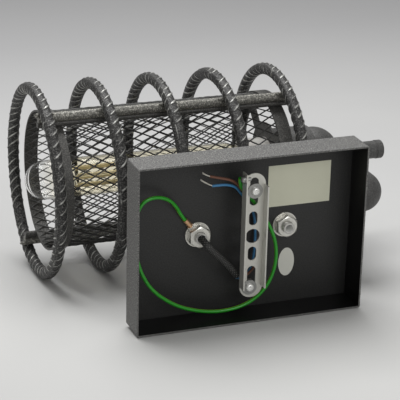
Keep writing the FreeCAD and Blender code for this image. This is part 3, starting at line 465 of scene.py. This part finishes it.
nipple_zinc = thread_finish("nipple_thread", (0.62, 0.61, 0.58))
nut_zinc = zinc_finish("nut_zinc", (0.62, 0.61, 0.57), (1.0, 1.0, 1.0))
for side, across, seat in (("left", -NIPPLE_ACROSS, 0.0200), ("right", NIPPLE_ACROSS, 0.0210)):
    nut = chamfered_nut("chamfered_nut_" + side, flats=0.017, bore=0.010, height=0.0065,
                        base=(across, seat, 0))
    nut.data.materials.append(nut_zinc)
    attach(nut, "fixture")
    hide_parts("nipple_nut_" + side)
    nipple = threaded_tube("cut_nipple_" + side, "threaded_nipple_" + side, wall=0.0015, pitch=0.001,
                           depth=0.0005, way=(0, 1, 0))
    nipple.data.materials.append(nipple_zinc)
    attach(nipple, "fixture")
    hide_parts("threaded_nipple_" + side)
    dress("lock_washer_" + side, nut_zinc)
dress("earth_lug", lug_finish())


# ------------------------------------------------------------------ conductors
# A green-yellow earth wire loops loosely round the tray from the lug to the bracket's earth
# screw. A black glass-fibre sleeve brings brown and blue wires from the left nipple. All are
# laid by hand, and the bared ends are twisted bundles of tinned copper.
def wire_finish(name, shade, roughness):
    """Rubbed plastic insulation of one colour."""
    finish, tree, shader = new_finish(name)
    spot = place_on(tree)
    rub = noise(tree, spot, 400.0)
    rubbed = tuple(0.8 * part for part in shade)
    feed(tree, shader.inputs["Base Color"], blend_colours(tree, rub, rubbed, shade))
    feed(tree, shader.inputs["Roughness"], roughness + 0.15 * rub)
    feed(tree, shader.inputs["Normal"], raise_surface(tree, rub, 0.08, 0.0002))
    return finish


def place_along(tree):
    """Return the place on a cord: along it and round it, each from 0 to 1."""
    return add_node(tree, "TexCoord", output=2)


def earth_finish():
    """Green insulation with one narrow yellow stripe on each side."""
    finish, tree, shader = new_finish("green_yellow_insulation")
    turn = parts_of(tree, place_along(tree))[1]
    stripe = (turn * 2.0).math("FRACT")
    yellow = (stripe > 0.40) * (stripe < 0.56)
    rub = noise(tree, place_on(tree), 500.0)
    green = blend_colours(tree, rub, (0.008, 0.230, 0.006), (0.016, 0.330, 0.012))
    feed(tree, shader.inputs["Base Color"], blend_colours(tree, yellow, green, (0.22, 0.42, 0.02)))
    feed(tree, shader.inputs["Roughness"], 0.33 + 0.12 * rub)
    shader.inputs["Coat Weight"].default_value = 0.2
    return finish


def sleeve_finish():
    """Varnished glass-fibre braid: black with a grey weave."""
    finish, tree, shader = new_finish("braided_sleeve")
    along, turn, _ = parts_of(tree, place_along(tree))
    one = ((along * 26.0 + turn * 7.0).math("FRACT") - 0.5).math("ABSOLUTE")
    two = ((along * 26.0 - turn * 7.0).math("FRACT") - 0.5).math("ABSOLUTE")
    weave = one.math("MINIMUM", two) * 2.0
    fuzz = noise(tree, place_on(tree), 700.0, 4.0, 0.7)
    feed(tree, shader.inputs["Base Color"], ramp(tree, weave * 0.6 + fuzz * 0.5, [
        (0.38, (0.008, 0.008, 0.008)), (0.60, (0.030, 0.030, 0.029)), (0.86, (0.24, 0.235, 0.22))]))
    feed(tree, shader.inputs["Roughness"], 0.55 + 0.2 * fuzz)
    feed(tree, shader.inputs["Normal"], raise_surface(tree, weave + fuzz, 0.5, 0.0004))
    return finish


def lay_spline(line, route):
    """Add one smooth spline along a route in metres."""
    spline = line.splines.new("NURBS")
    spline.points.add(len(route) - 1)
    for target, place in zip(spline.points, route):
        target.co = (*place, 1)
    spline.order_u = 3
    spline.use_endpoint_u = True
    return spline


def flexible(name, route, diameter, finish, node):
    """Lay one conductor as a smooth curve along its route, in millimetres."""
    line = bpy.data.curves.new(name, "CURVE")
    line.dimensions = "3D"
    spline = lay_spline(line, [[value / 1000 for value in place] for place in route])
    spline.resolution_u = 10
    line.bevel_depth = diameter / 2
    line.bevel_resolution = 6
    line.use_fill_caps = True
    line.materials.append(finish)
    piece = in_scene(name, line)
    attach(piece, "fixture")
    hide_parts(node)


LUG_END = (-50.8, 26.2, 14.8)
EARTH_ROUTE = [LUG_END, (-53.9, 26.2, 18.7), (-59.4, 23.7, 28.4), (-66.6, 20.3, 36.5), (-77.5, 17, 41.6),
               (-88.3, 15.5, 40.8), (-94.6, 15.5, 33.6), (-96.5, 16.5, 22), (-96.8, 16.5, 10),
               (-96.4, 16, -2), (-94.8, 15, -13), (-91.1, 15, -24.3), (-84.1, 15, -36.8),
               (-73.4, 15, -47.5), (-57.7, 15, -58), (-37.6, 15, -64.7), (-19.6, 15, -66.7),
               (-1.7, 15, -64.3), (12.2, 15, -57), (21.8, 15, -45.1), (26.6, 15, -30.4), (26.9, 15, -15),
               (22.8, 15, 0), (14, 15, 16), (7, 14.7, 26.5), (0, 14.2, 34.3), (-5.8, 13, 41.3),
               (-9.6, 11.2, 47.6), (-10.2, 9.3, 53.2)]
SLEEVE_ROUTE = [(-39, 24, 0), (-39, 8.6, -0.3), (-32.8, 7.8, -7.8), (-24.4, 10, -16.2),
                (-15.8, 12, -25.8), (-8.2, 14, -35)]
BROWN_ROUTE = [(-7.4, 14, -35), (-3.4, 16, -37.2), (3.5, 18, -37), (10, 20, -31), (13.6, 21, -20),
               (14.2, 21, -5), (13.6, 21, 10), (9.5, 21, 23.5), (2.5, 20.5, 32.3), (-4.5, 18.6, 38.6),
               (-9.8, 16.4, 46), (-15.6, 15.3, 50), (-24, 15, 52.5), (-34.4, 15, 55.3)]
BLUE_ROUTE = [(-9.2, 14.6, -36.8), (-4.8, 17.4, -40), (3, 20.8, -39.2), (8.6, 23.2, -31.5),
              (11, 24.4, -19), (11.4, 24.8, -5), (10.6, 24.8, 9), (6.8, 24.4, 21), (0.6, 22.8, 29.6),
              (-5.2, 19.8, 35.8), (-9.6, 17, 41.8), (-15.2, 15.6, 45.2), (-22.4, 15, 46.9),
              (-32.2, 15, 46.7)]
flexible("earth_wire_loop", EARTH_ROUTE, 0.003, earth_finish(), "earth_wire")
flexible("cable_sleeve_braid", SLEEVE_ROUTE, 0.006, sleeve_finish(),
         "cable_sleeve")
brown_plastic = wire_finish("brown_insulation", (0.16, 0.065, 0.038), 0.42)
blue_plastic = wire_finish("blue_insulation", (0.045, 0.20, 0.40), 0.38)
flexible("brown_wire_run", BROWN_ROUTE, 0.0022, brown_plastic,
         "brown_wire")
flexible("blue_wire_run", BLUE_ROUTE, 0.0022, blue_plastic,
         "blue_wire")

STRAND_COUNT = 7
STRAND_RADIUS = 0.00019
STRAND_STEPS = 4
STRAND_PATHS = (("brown_strand", (-33.6, 15, 55.1), (-37.4, 15, 56.4), (-40.7, 15, 58.9)),
                ("blue_strand", (-31.4, 15, 46.6), (-36.4, 15, 48.9), (-42.2, 15, 53)))
copper = zinc_finish("tinned_copper", (0.72, 0.70, 0.64), (1.0, 1.0, 1.0))
strand_random = random.Random(4)
for name, *path in STRAND_PATHS:
    start, middle, tip = (Vector(place) for place in path)
    bundle = bpy.data.curves.new(name + "_bundle", "CURVE")
    bundle.dimensions = "3D"
    bundle.bevel_depth = STRAND_RADIUS
    bundle.bevel_resolution = 2
    for number in range(STRAND_COUNT):
        route = []
        for step in range(STRAND_STEPS + 1):
            share = step / STRAND_STEPS
            core = start * (1 - share) ** 2 + middle * 2 * share * (1 - share) + tip * share ** 2
            turn = 2 * math.pi * number / STRAND_COUNT + 2.4 * share
            spread = 0.38 + 0.35 * share ** 3
            side = Vector((0, math.cos(turn), math.sin(turn))) * spread
            wander = Vector([strand_random.uniform(-0.12, 0.12) * share for _ in range(3)])
            route.append((core + side + wander) / 1000)
        lay_spline(bundle, route)
    bundle.materials.append(copper)
    piece = in_scene(name + "_bundle", bundle)
    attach(piece, "fixture")
    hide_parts(name)


# ------------------------------------------------------------------ stickers
# A pale foil label and a small oval paper sticker, stuck to the plate's floor by their own
# adhesive. Both are left bare.
def sticker_finish(name, shade):
    """Pale stock with fine fibres and faint stains."""
    finish, tree, shader = new_finish(name)
    spot = place_on(tree)
    fibre = noise(tree, spot, 900.0, 4.0)
    stain = noise(tree, spot, 40.0, 3.0)
    stained = tuple(0.88 * part for part in shade)
    feed(tree, shader.inputs["Base Color"], blend_colours(tree, stain, stained, shade))
    feed(tree, shader.inputs["Roughness"], 0.42 + 0.2 * fibre)
    feed(tree, shader.inputs["Normal"], raise_surface(tree, fibre, 0.05, 0.0001))
    return finish


dress("bare_label", sticker_finish("label_foil", (0.62, 0.62, 0.49)))
dress("oval_sticker", sticker_finish("oval_paper", (0.64, 0.64, 0.58)))


# ------------------------------------------------------------------ pipe fittings
# Malleable-iron elbows, a tee and short threaded pipes, screwed together and painted the same
# granular graphite as the cage; the castings are slightly rough.
def cast_finish(name, shade, grit, speckle=0.3):
    """Granular paint: a share of the grains, the speckle, is rubbed or catches the light."""
    finish, tree, shader = new_finish(name)
    spot = place_on(tree)
    grain = noise(tree, spot, grit, 3.0, 0.7)
    cloud = noise(tree, spot, 30.0, 4.0)
    dark = tuple(0.55 * part for part in shade)
    light = tuple(min(1.0, (1.3 + 4.0 * speckle) * part) for part in shade)
    feed(tree, shader.inputs["Base Color"],
         ramp(tree, grain, [(0.36, dark), (0.52, shade), (0.68, light)]))
    feed(tree, shader.inputs["Roughness"], 0.42 + 0.22 * cloud)
    shader.inputs["Metallic"].default_value = 0.35
    feed(tree, shader.inputs["Normal"], raise_surface(tree, grain + cloud * 2.0, 0.30, 0.0005))
    return finish


cast_paint = cast_finish("cast_graphite_paint", (0.078, 0.077, 0.075), 900.0, 0.1)
for node in ("base_elbow", "base_tee", "plate_spigot_left", "plate_spigot_right", "close_nipple",
             "run_pipe", "lower_elbow", "leg_pipe", "upper_elbow", "stub_pipe", "stub_cap", "cap_nuts"):
    dress(node, cast_paint)


# ------------------------------------------------------------------ rings
# Five rings bent from 12 mm reinforcing bar, closed by a butt weld. The rolled ribs are rubbed
# bright through a thin graphite paint, and cloudy bright patches on the bar are painted highlights.
# Sizes in millimetres; the counts and shares have no unit.
RING_RADIUS = 83.0
RING_AXIS = 187.5
RIB_COUNT = 56
ROWS_PER_RIB = 12
BAR_STEPS = 30
BAR_CORE = 5.0
RIB_HEIGHT = 0.75
RIB_HALF_WIDTH = 0.13
RIB_LEAN = 0.60
SEAM_HEIGHT = 0.55
SEAM_HALF_WIDTH = 0.20
WEAR_FADE = 0.012


def rib_profile(along, turn, phase):
    """Heights of rib and seam at a place on the bar; along counts rib pitches."""
    side = math.sin(turn)
    lean = RIB_LEAN * math.cos(turn) * (1 if side > 0 else -1)
    offset = (along + lean + phase + (0.5 if side < 0 else 0.0)) % 1.0
    gap = min(offset, 1 - offset)
    crest = max(0.0, 1 - (gap / RIB_HALF_WIDTH) ** 2)
    crescent = max(0.0, abs(side) - 0.14) ** 0.4
    seam = max(0.0, 1 - (side / SEAM_HALF_WIDTH) ** 2)
    return RIB_HEIGHT * crest * crescent, SEAM_HEIGHT * seam


def ribbed_ring(name, centre, phase, roll, smooth_at, seed):
    """Sweep the ribbed bar round the cage; the stretches in smooth_at are worn flat."""
    rows = RIB_COUNT * ROWS_PER_RIB
    dents = random.Random(seed)
    waves = [(dents.uniform(0, 6.28), dents.randint(3, 11), dents.uniform(0.01, 0.04)) for _ in range(6)]
    points = []
    wear = []
    for row in range(rows):
        share = row / rows
        angle = 2 * math.pi * share
        lump = sum(height * math.sin(count * angle + start) for start, count, height in waves)
        worn = 1.0
        for place, half_width in smooth_at:
            away = abs((share - place + 0.5) % 1.0 - 0.5)
            worn = min(worn, max(0.0, min(1.0, (away - half_width) / WEAR_FADE)))
        for step in range(BAR_STEPS):
            turn = 2 * math.pi * step / BAR_STEPS
            rib, seam = rib_profile(share * RIB_COUNT, turn + roll, phase)
            radius = BAR_CORE + lump + rib * worn + seam * (0.4 + 0.6 * worn) + (1 - worn) * 0.25
            outward = RING_RADIUS + radius * math.cos(turn)
            points.append((centre + radius * math.sin(turn), RING_AXIS - outward * math.cos(angle),
                           outward * math.sin(angle)))
            wear.append(min(1.0, rib * worn / RIB_HEIGHT + 0.6 * seam))
    here = np.arange(rows * BAR_STEPS).reshape(rows, BAR_STEPS)
    after = np.roll(here, -1, axis=0)
    faces = np.stack([here, after, np.roll(after, -1, axis=1), np.roll(here, -1, axis=1)], axis=-1)
    mesh = bpy.data.meshes.new(name)
    mesh.from_pydata((np.array(points) / 1000).tolist(), [], faces.reshape(-1, 4).tolist())
    mesh.attributes.new("rib", "FLOAT", "POINT").data.foreach_set("value", wear)
    mesh.shade_smooth()
    return in_scene(name, mesh)


def rebar_finish():
    """Thin graphite paint, rubbed through to bright steel on the ribs, with painted highlights in cloudy
    patches.
    """
    finish, tree, shader = new_finish("rebar_graphite")
    spot = place_on(tree)
    rib = add_node(tree, "Attribute", {"attribute_name": "rib"}, output=2)
    grain = noise(tree, spot, 750.0, 4.0, 0.7)
    cloud = noise(tree, spot, 70.0, 4.0, 0.65)
    paint = ramp(tree, grain, [(0.36, (0.008, 0.008, 0.008)), (0.52, (0.036, 0.035, 0.034)),
                               (0.66, (0.20, 0.198, 0.19))])
    bare = blend_colours(tree, grain, (0.16, 0.16, 0.15), (0.80, 0.80, 0.76))
    # Wear and painted highlight: the ribs are rubbed bright, and cloudy patches anywhere on the bar are
    # painted highlights.
    rubbed = ((rib * 1.1 + cloud * 2.0 - 1.40) * 2.2).clamped()
    feed(tree, shader.inputs["Base Color"], blend_colours(tree, rubbed, paint, bare))
    feed(tree, shader.inputs["Roughness"], 0.50 - 0.16 * rubbed + 0.12 * grain)
    feed(tree, shader.inputs["Metallic"], 0.30 + 0.45 * rubbed)
    feed(tree, shader.inputs["Normal"], raise_surface(tree, grain + cloud * 1.5, 0.45, 0.0004))
    return finish


rebar_paint = rebar_finish()
RING_CENTRES = [-134.2, -78.0, -21.8, 34.4, 90.6]
SMOOTH_STRETCHES = [[(0.62, 0.01)], [(0.985, 0.018)], [(0.10, 0.02)], [(0.30, 0.012)], [(0.55, 0.01)]]
RING_ROLLS = [0.70, 0.82, 0.62, 0.90, 0.74]
rings = zip(RING_CENTRES, RING_ROLLS, SMOOTH_STRETCHES)
for number, (centre, roll, stretches) in enumerate(rings, start=1):
    ring = ribbed_ring("rebar_ring_%d" % number, centre, 0.37 * number, roll, stretches, number)
    ring.data.materials.append(rebar_paint)
    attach(ring, "fixture")
    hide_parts("cage_ring_%d" % number)


# ------------------------------------------------------------------ cage bars and welds
# A straight steel bar above and one below join the rings, in the same granular graphite but
# rubbed more. Short puddle welds hold each crossing.
bar_paint = cast_finish("bar_graphite_paint", (0.15, 0.146, 0.130), 700.0, 0.6)
dress("cage_bar_upper", bar_paint)
dress("cage_bar_lower", bar_paint)

# Sizes in millimetres, but the turn.
BAR_TURN = math.radians(68)
WELD_OFFSET = 5.2
WELD_RADIUS = 76.3
WELD_SIZE = (3.4, 3.9, 1.9)
weld_random = random.Random(11)
puddles = bmesh.new()
for centre in RING_CENTRES:
    for side in (1, -1):
        for along in (-WELD_OFFSET, WELD_OFFSET):
            made = bmesh.ops.create_icosphere(puddles, subdivisions=3, radius=1.0)["verts"]
            start = [weld_random.uniform(0, 6) for _ in range(3)]
            for vertex in made:
                ripple = 1 + 0.10 * math.sin(5 * vertex.co.x + start[0])
                ripple += 0.08 * math.sin(7 * vertex.co.y + start[1])
                vertex.co = Vector([part * size for part, size in zip(vertex.co, WELD_SIZE)]) * ripple
            middle = Vector((centre + along, RING_AXIS - side * WELD_RADIUS * math.cos(BAR_TURN),
                             side * WELD_RADIUS * math.sin(BAR_TURN)))
            turn = Matrix.Rotation(BAR_TURN - math.pi / 2, 3, "X")
            bmesh.ops.rotate(puddles, cent=(0, 0, 0), matrix=turn, verts=made)
            bmesh.ops.translate(puddles, vec=middle, verts=made)
bmesh.ops.scale(puddles, vec=(0.001, 0.001, 0.001), verts=puddles.verts)
welds = as_piece("puddle_welds", puddles)
welds.data.materials.append(bar_paint)
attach(welds, "fixture")


# ------------------------------------------------------------------ basket
# A tube of expanded metal between two flat hoops: one sheet, slit and stretched so its strands
# stand at a slant, then rolled. A four-armed plate closes its right end round the lamp holder.
# Two thin rods lie between the hoops and the bars, in the hoops' graphite paint.
hoop_paint = cast_finish("hoop_graphite_paint", (0.085, 0.083, 0.078), 900.0, 0.2)
for node in ("basket_hoop_left", "basket_hoop_right", "basket_spider",
             "cage_rod_upper", "cage_rod_lower"):
    dress(node, hoop_paint)

# Sizes in millimetres, but the turn; a hole's reach is a share of its cell's half.
MESH_RADIUS = 60.7
CELL_LONG = 16.25
CELLS_AROUND = 44
MESH_START = -128.4
MESH_STOP = 85.8
MESH_SHIFT = -96.1
MESH_TURN = math.radians(3.6)
HOLE_ALONG = 0.885
HOLE_AROUND = 0.87
HOLE_LIFT = 0.5
SHEET_GAUGE = 0.9


def expanded_sheet(name):
    """Lay diamond cells round the cage; each hole leans, one side lifted and the other sunk."""
    half_long = CELL_LONG / 2
    half_turn = math.pi / CELLS_AROUND
    first = math.ceil((MESH_START - MESH_SHIFT) / half_long)
    last = math.floor((MESH_STOP - MESH_SHIFT) / half_long)
    sheet = bmesh.new()
    corners = {}

    def spot(column, row, lift=0.0):
        radius = MESH_RADIUS + lift
        angle = MESH_TURN + row * half_turn
        across = min(max(MESH_SHIFT + column * half_long, MESH_START), MESH_STOP)
        return across, RING_AXIS - radius * math.cos(angle), radius * math.sin(angle)

    def knot(column, row):
        key = (column, row % (2 * CELLS_AROUND))
        if key not in corners:
            corners[key] = sheet.verts.new(spot(*key))
        return corners[key]

    for column in range(first, last + 1):
        for row in range(2 * CELLS_AROUND):
            if (column + row) % 2 == 0:
                continue
            outer = [knot(column - 1, row), knot(column, row - 1),
                     knot(column + 1, row), knot(column, row + 1)]
            inner = [sheet.verts.new(place) for place in (
                spot(column - HOLE_ALONG, row), spot(column, row - HOLE_AROUND, -HOLE_LIFT),
                spot(column + HOLE_ALONG, row), spot(column, row + HOLE_AROUND, HOLE_LIFT))]
            for k in range(4):
                quad = (outer[k], outer[(k + 1) % 4], inner[(k + 1) % 4], inner[k])
                if len({tuple(round(value, 4) for value in vertex.co) for vertex in quad}) == 4:
                    sheet.faces.new(quad)
    bmesh.ops.scale(sheet, vec=(0.001, 0.001, 0.001), verts=sheet.verts)
    piece = as_piece(name, sheet, smooth=False)
    thicken = piece.modifiers.new("gauge", "SOLIDIFY")
    thicken.thickness = SHEET_GAUGE / 1000
    thicken.offset = 0.0
    return piece


def strand_finish():
    """Black paint; the far half is painted lighter grey, as painted light on its inner side."""
    finish, tree, shader = new_finish("basket_black_paint")
    spot = place_on(tree)
    grain = noise(tree, spot, 1200.0, 3.0)
    # Painted light: strands beyond the axis get a lighter grey in place of the light falling on them.
    far_half_painted_light = parts_of(tree, spot)[1] > RING_AXIS / 1000
    black = ramp(tree, grain, [(0.35, (0.014, 0.014, 0.014)), (0.65, (0.050, 0.049, 0.046))])
    grey = ramp(tree, grain, [(0.35, (0.10, 0.10, 0.10)), (0.65, (0.26, 0.26, 0.25))])
    feed(tree, shader.inputs["Base Color"], blend_colours(tree, far_half_painted_light, black, grey))
    feed(tree, shader.inputs["Roughness"], 0.38 + 0.25 * grain)
    shader.inputs["Metallic"].default_value = 0.4
    feed(tree, shader.inputs["Normal"], raise_surface(tree, grain, 0.25, 0.0002))
    return finish


basket = expanded_sheet("expanded_basket")
basket.data.materials.append(strand_finish())
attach(basket, "fixture")
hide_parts("basket_mesh")


# ------------------------------------------------------------------ lamp holder
# A glazed porcelain holder, pushed into the wide socket of the upper elbow. Its screw shell
# and its contact are pressed from brass sheet and riveted inside the porcelain.
def glaze_finish():
    """Off-white glaze with faint clouds."""
    finish, tree, shader = new_finish("porcelain_glaze")
    spot = place_on(tree)
    cloud = noise(tree, spot, 50.0)
    feed(tree, shader.inputs["Base Color"],
         blend_colours(tree, cloud, (0.74, 0.72, 0.67), (0.82, 0.80, 0.76)))
    feed(tree, shader.inputs["Roughness"], 0.12 + 0.12 * cloud)
    shader.inputs["Coat Weight"].default_value = 0.5
    feed(tree, shader.inputs["Normal"], raise_surface(tree, cloud, 0.08, 0.0010))
    return finish


def shell_finish(name, shade):
    """Bright sheet metal, a little tarnished."""
    finish, tree, shader = new_finish(name)
    spot = place_on(tree)
    dirt = noise(tree, spot, 200.0)
    tarnished = tuple(0.75 * part for part in shade)
    feed(tree, shader.inputs["Base Color"], blend_colours(tree, dirt, tarnished, shade))
    feed(tree, shader.inputs["Roughness"], 0.18 + 0.2 * dirt)
    shader.inputs["Metallic"].default_value = 1.0
    feed(tree, shader.inputs["Normal"], raise_surface(tree, dirt, 0.1, 0.0002))
    return finish


dress("lamp_holder", glaze_finish())
dress("holder_shell", shell_finish("shell_brass", (0.70, 0.55, 0.30)))
dress("holder_contact", shell_finish("contact_brass", (0.70, 0.55, 0.30)))


# ------------------------------------------------------------------ bulb
# A long tubular blown-glass bulb with phosphor-coated filaments on a glass stem, closed by a
# plated screw cap with a black glass insulator and a soldered contact. It screws into the holder.
def clear_finish(name, tint, painted_filament_tint, roughness):
    """Clear glass, with a faint warm tint painted along the bulb as a painted reflection of the
    filaments behind it.
    """
    finish, tree, shader = new_finish(name)
    spot = place_on(tree)
    ripple = noise(tree, spot, 25.0, 2.0)
    # Painted reflection: the glass colour turns warm along the bulb, where the filaments stand behind
    # it.
    along = (parts_of(tree, spot)[0] + 0.125) * 60.0
    feed(tree, shader.inputs["Base Color"], blend_colours(tree, along.clamped(), tint, painted_filament_tint))
    shader.inputs["Transmission Weight"].default_value = 1.0
    shader.inputs["IOR"].default_value = 1.22
    feed(tree, shader.inputs["Roughness"], roughness + 0.02 * ripple)
    feed(tree, shader.inputs["Normal"], raise_surface(tree, ripple, 0.004, 0.0005))
    return finish


def phosphor_finish():
    """Warm, granular coat of the filaments."""
    finish, tree, shader = new_finish("phosphor_coat")
    spot = place_on(tree)
    speck = noise(tree, spot, 800.0)
    feed(tree, shader.inputs["Base Color"],
         blend_colours(tree, speck, (0.86, 0.73, 0.44), (0.96, 0.88, 0.64)))
    feed(tree, shader.inputs["Roughness"], 0.45 + 0.3 * speck)
    feed(tree, shader.inputs["Normal"], raise_surface(tree, speck, 0.2, 0.0002))
    return finish


# Sizes in millimetres.
BULB_TIP = -144.0
BULB_RADIUS = 17.8
DOME_STEPS = 16
SEALED_TIP_RADIUS = 0.2
NECK_START = 47.1
NECK_END = 61.1
NECK_RADIUS = 12.5
GLASS_WALL = 0.9


def glass_profile(inset):
    """Radius and distance along the bulb, from the tip of the dome to the neck's end."""
    radius = BULB_RADIUS - inset
    profile = []
    for step in range(DOME_STEPS + 1):
        angle = math.pi / 2 * step / DOME_STEPS
        profile.append((max(SEALED_TIP_RADIUS, radius * math.sin(angle)),
                        BULB_RADIUS - radius * math.cos(angle)))
    return profile + [(radius, NECK_START - BULB_TIP), (NECK_RADIUS - inset, NECK_END - BULB_TIP)]


walls = glass_profile(0.0) + glass_profile(GLASS_WALL)[::-1]
envelope = turned_piece("clear_envelope", [(radius / 1000, height / 1000) for radius, height in walls],
                        (BULB_TIP / 1000, RING_AXIS / 1000, 0), (1, 0, 0))
clear_glass = clear_finish("bulb_clear_glass", (0.98, 0.98, 0.97), (0.98, 0.95, 0.84), 0.0)
envelope.data.materials.append(clear_glass)
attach(envelope, "bulb")
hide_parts("bulb_glass")
dress("bulb_stem", clear_finish("stem_glass", (0.95, 0.95, 0.90), (0.96, 0.90, 0.70), 0.05))
dress("bulb_filaments", phosphor_finish())
dress("filament_supports", screw_zinc)
cap = threaded_tube("rolled_cap", "bulb_cap", wall=0.00058, pitch=0.0036, depth=0.0005, way=(1, 0, 0))
cap.data.materials.append(shell_finish("cap_nickel", (0.74, 0.73, 0.70)))
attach(cap, "bulb")
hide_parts("bulb_cap")
dress("bulb_contact", shell_finish("contact_solder", (0.62, 0.61, 0.58)))
dress("bulb_insulator", cast_finish("insulator_black_glass", (0.02, 0.02, 0.022), 300.0, 0.0))
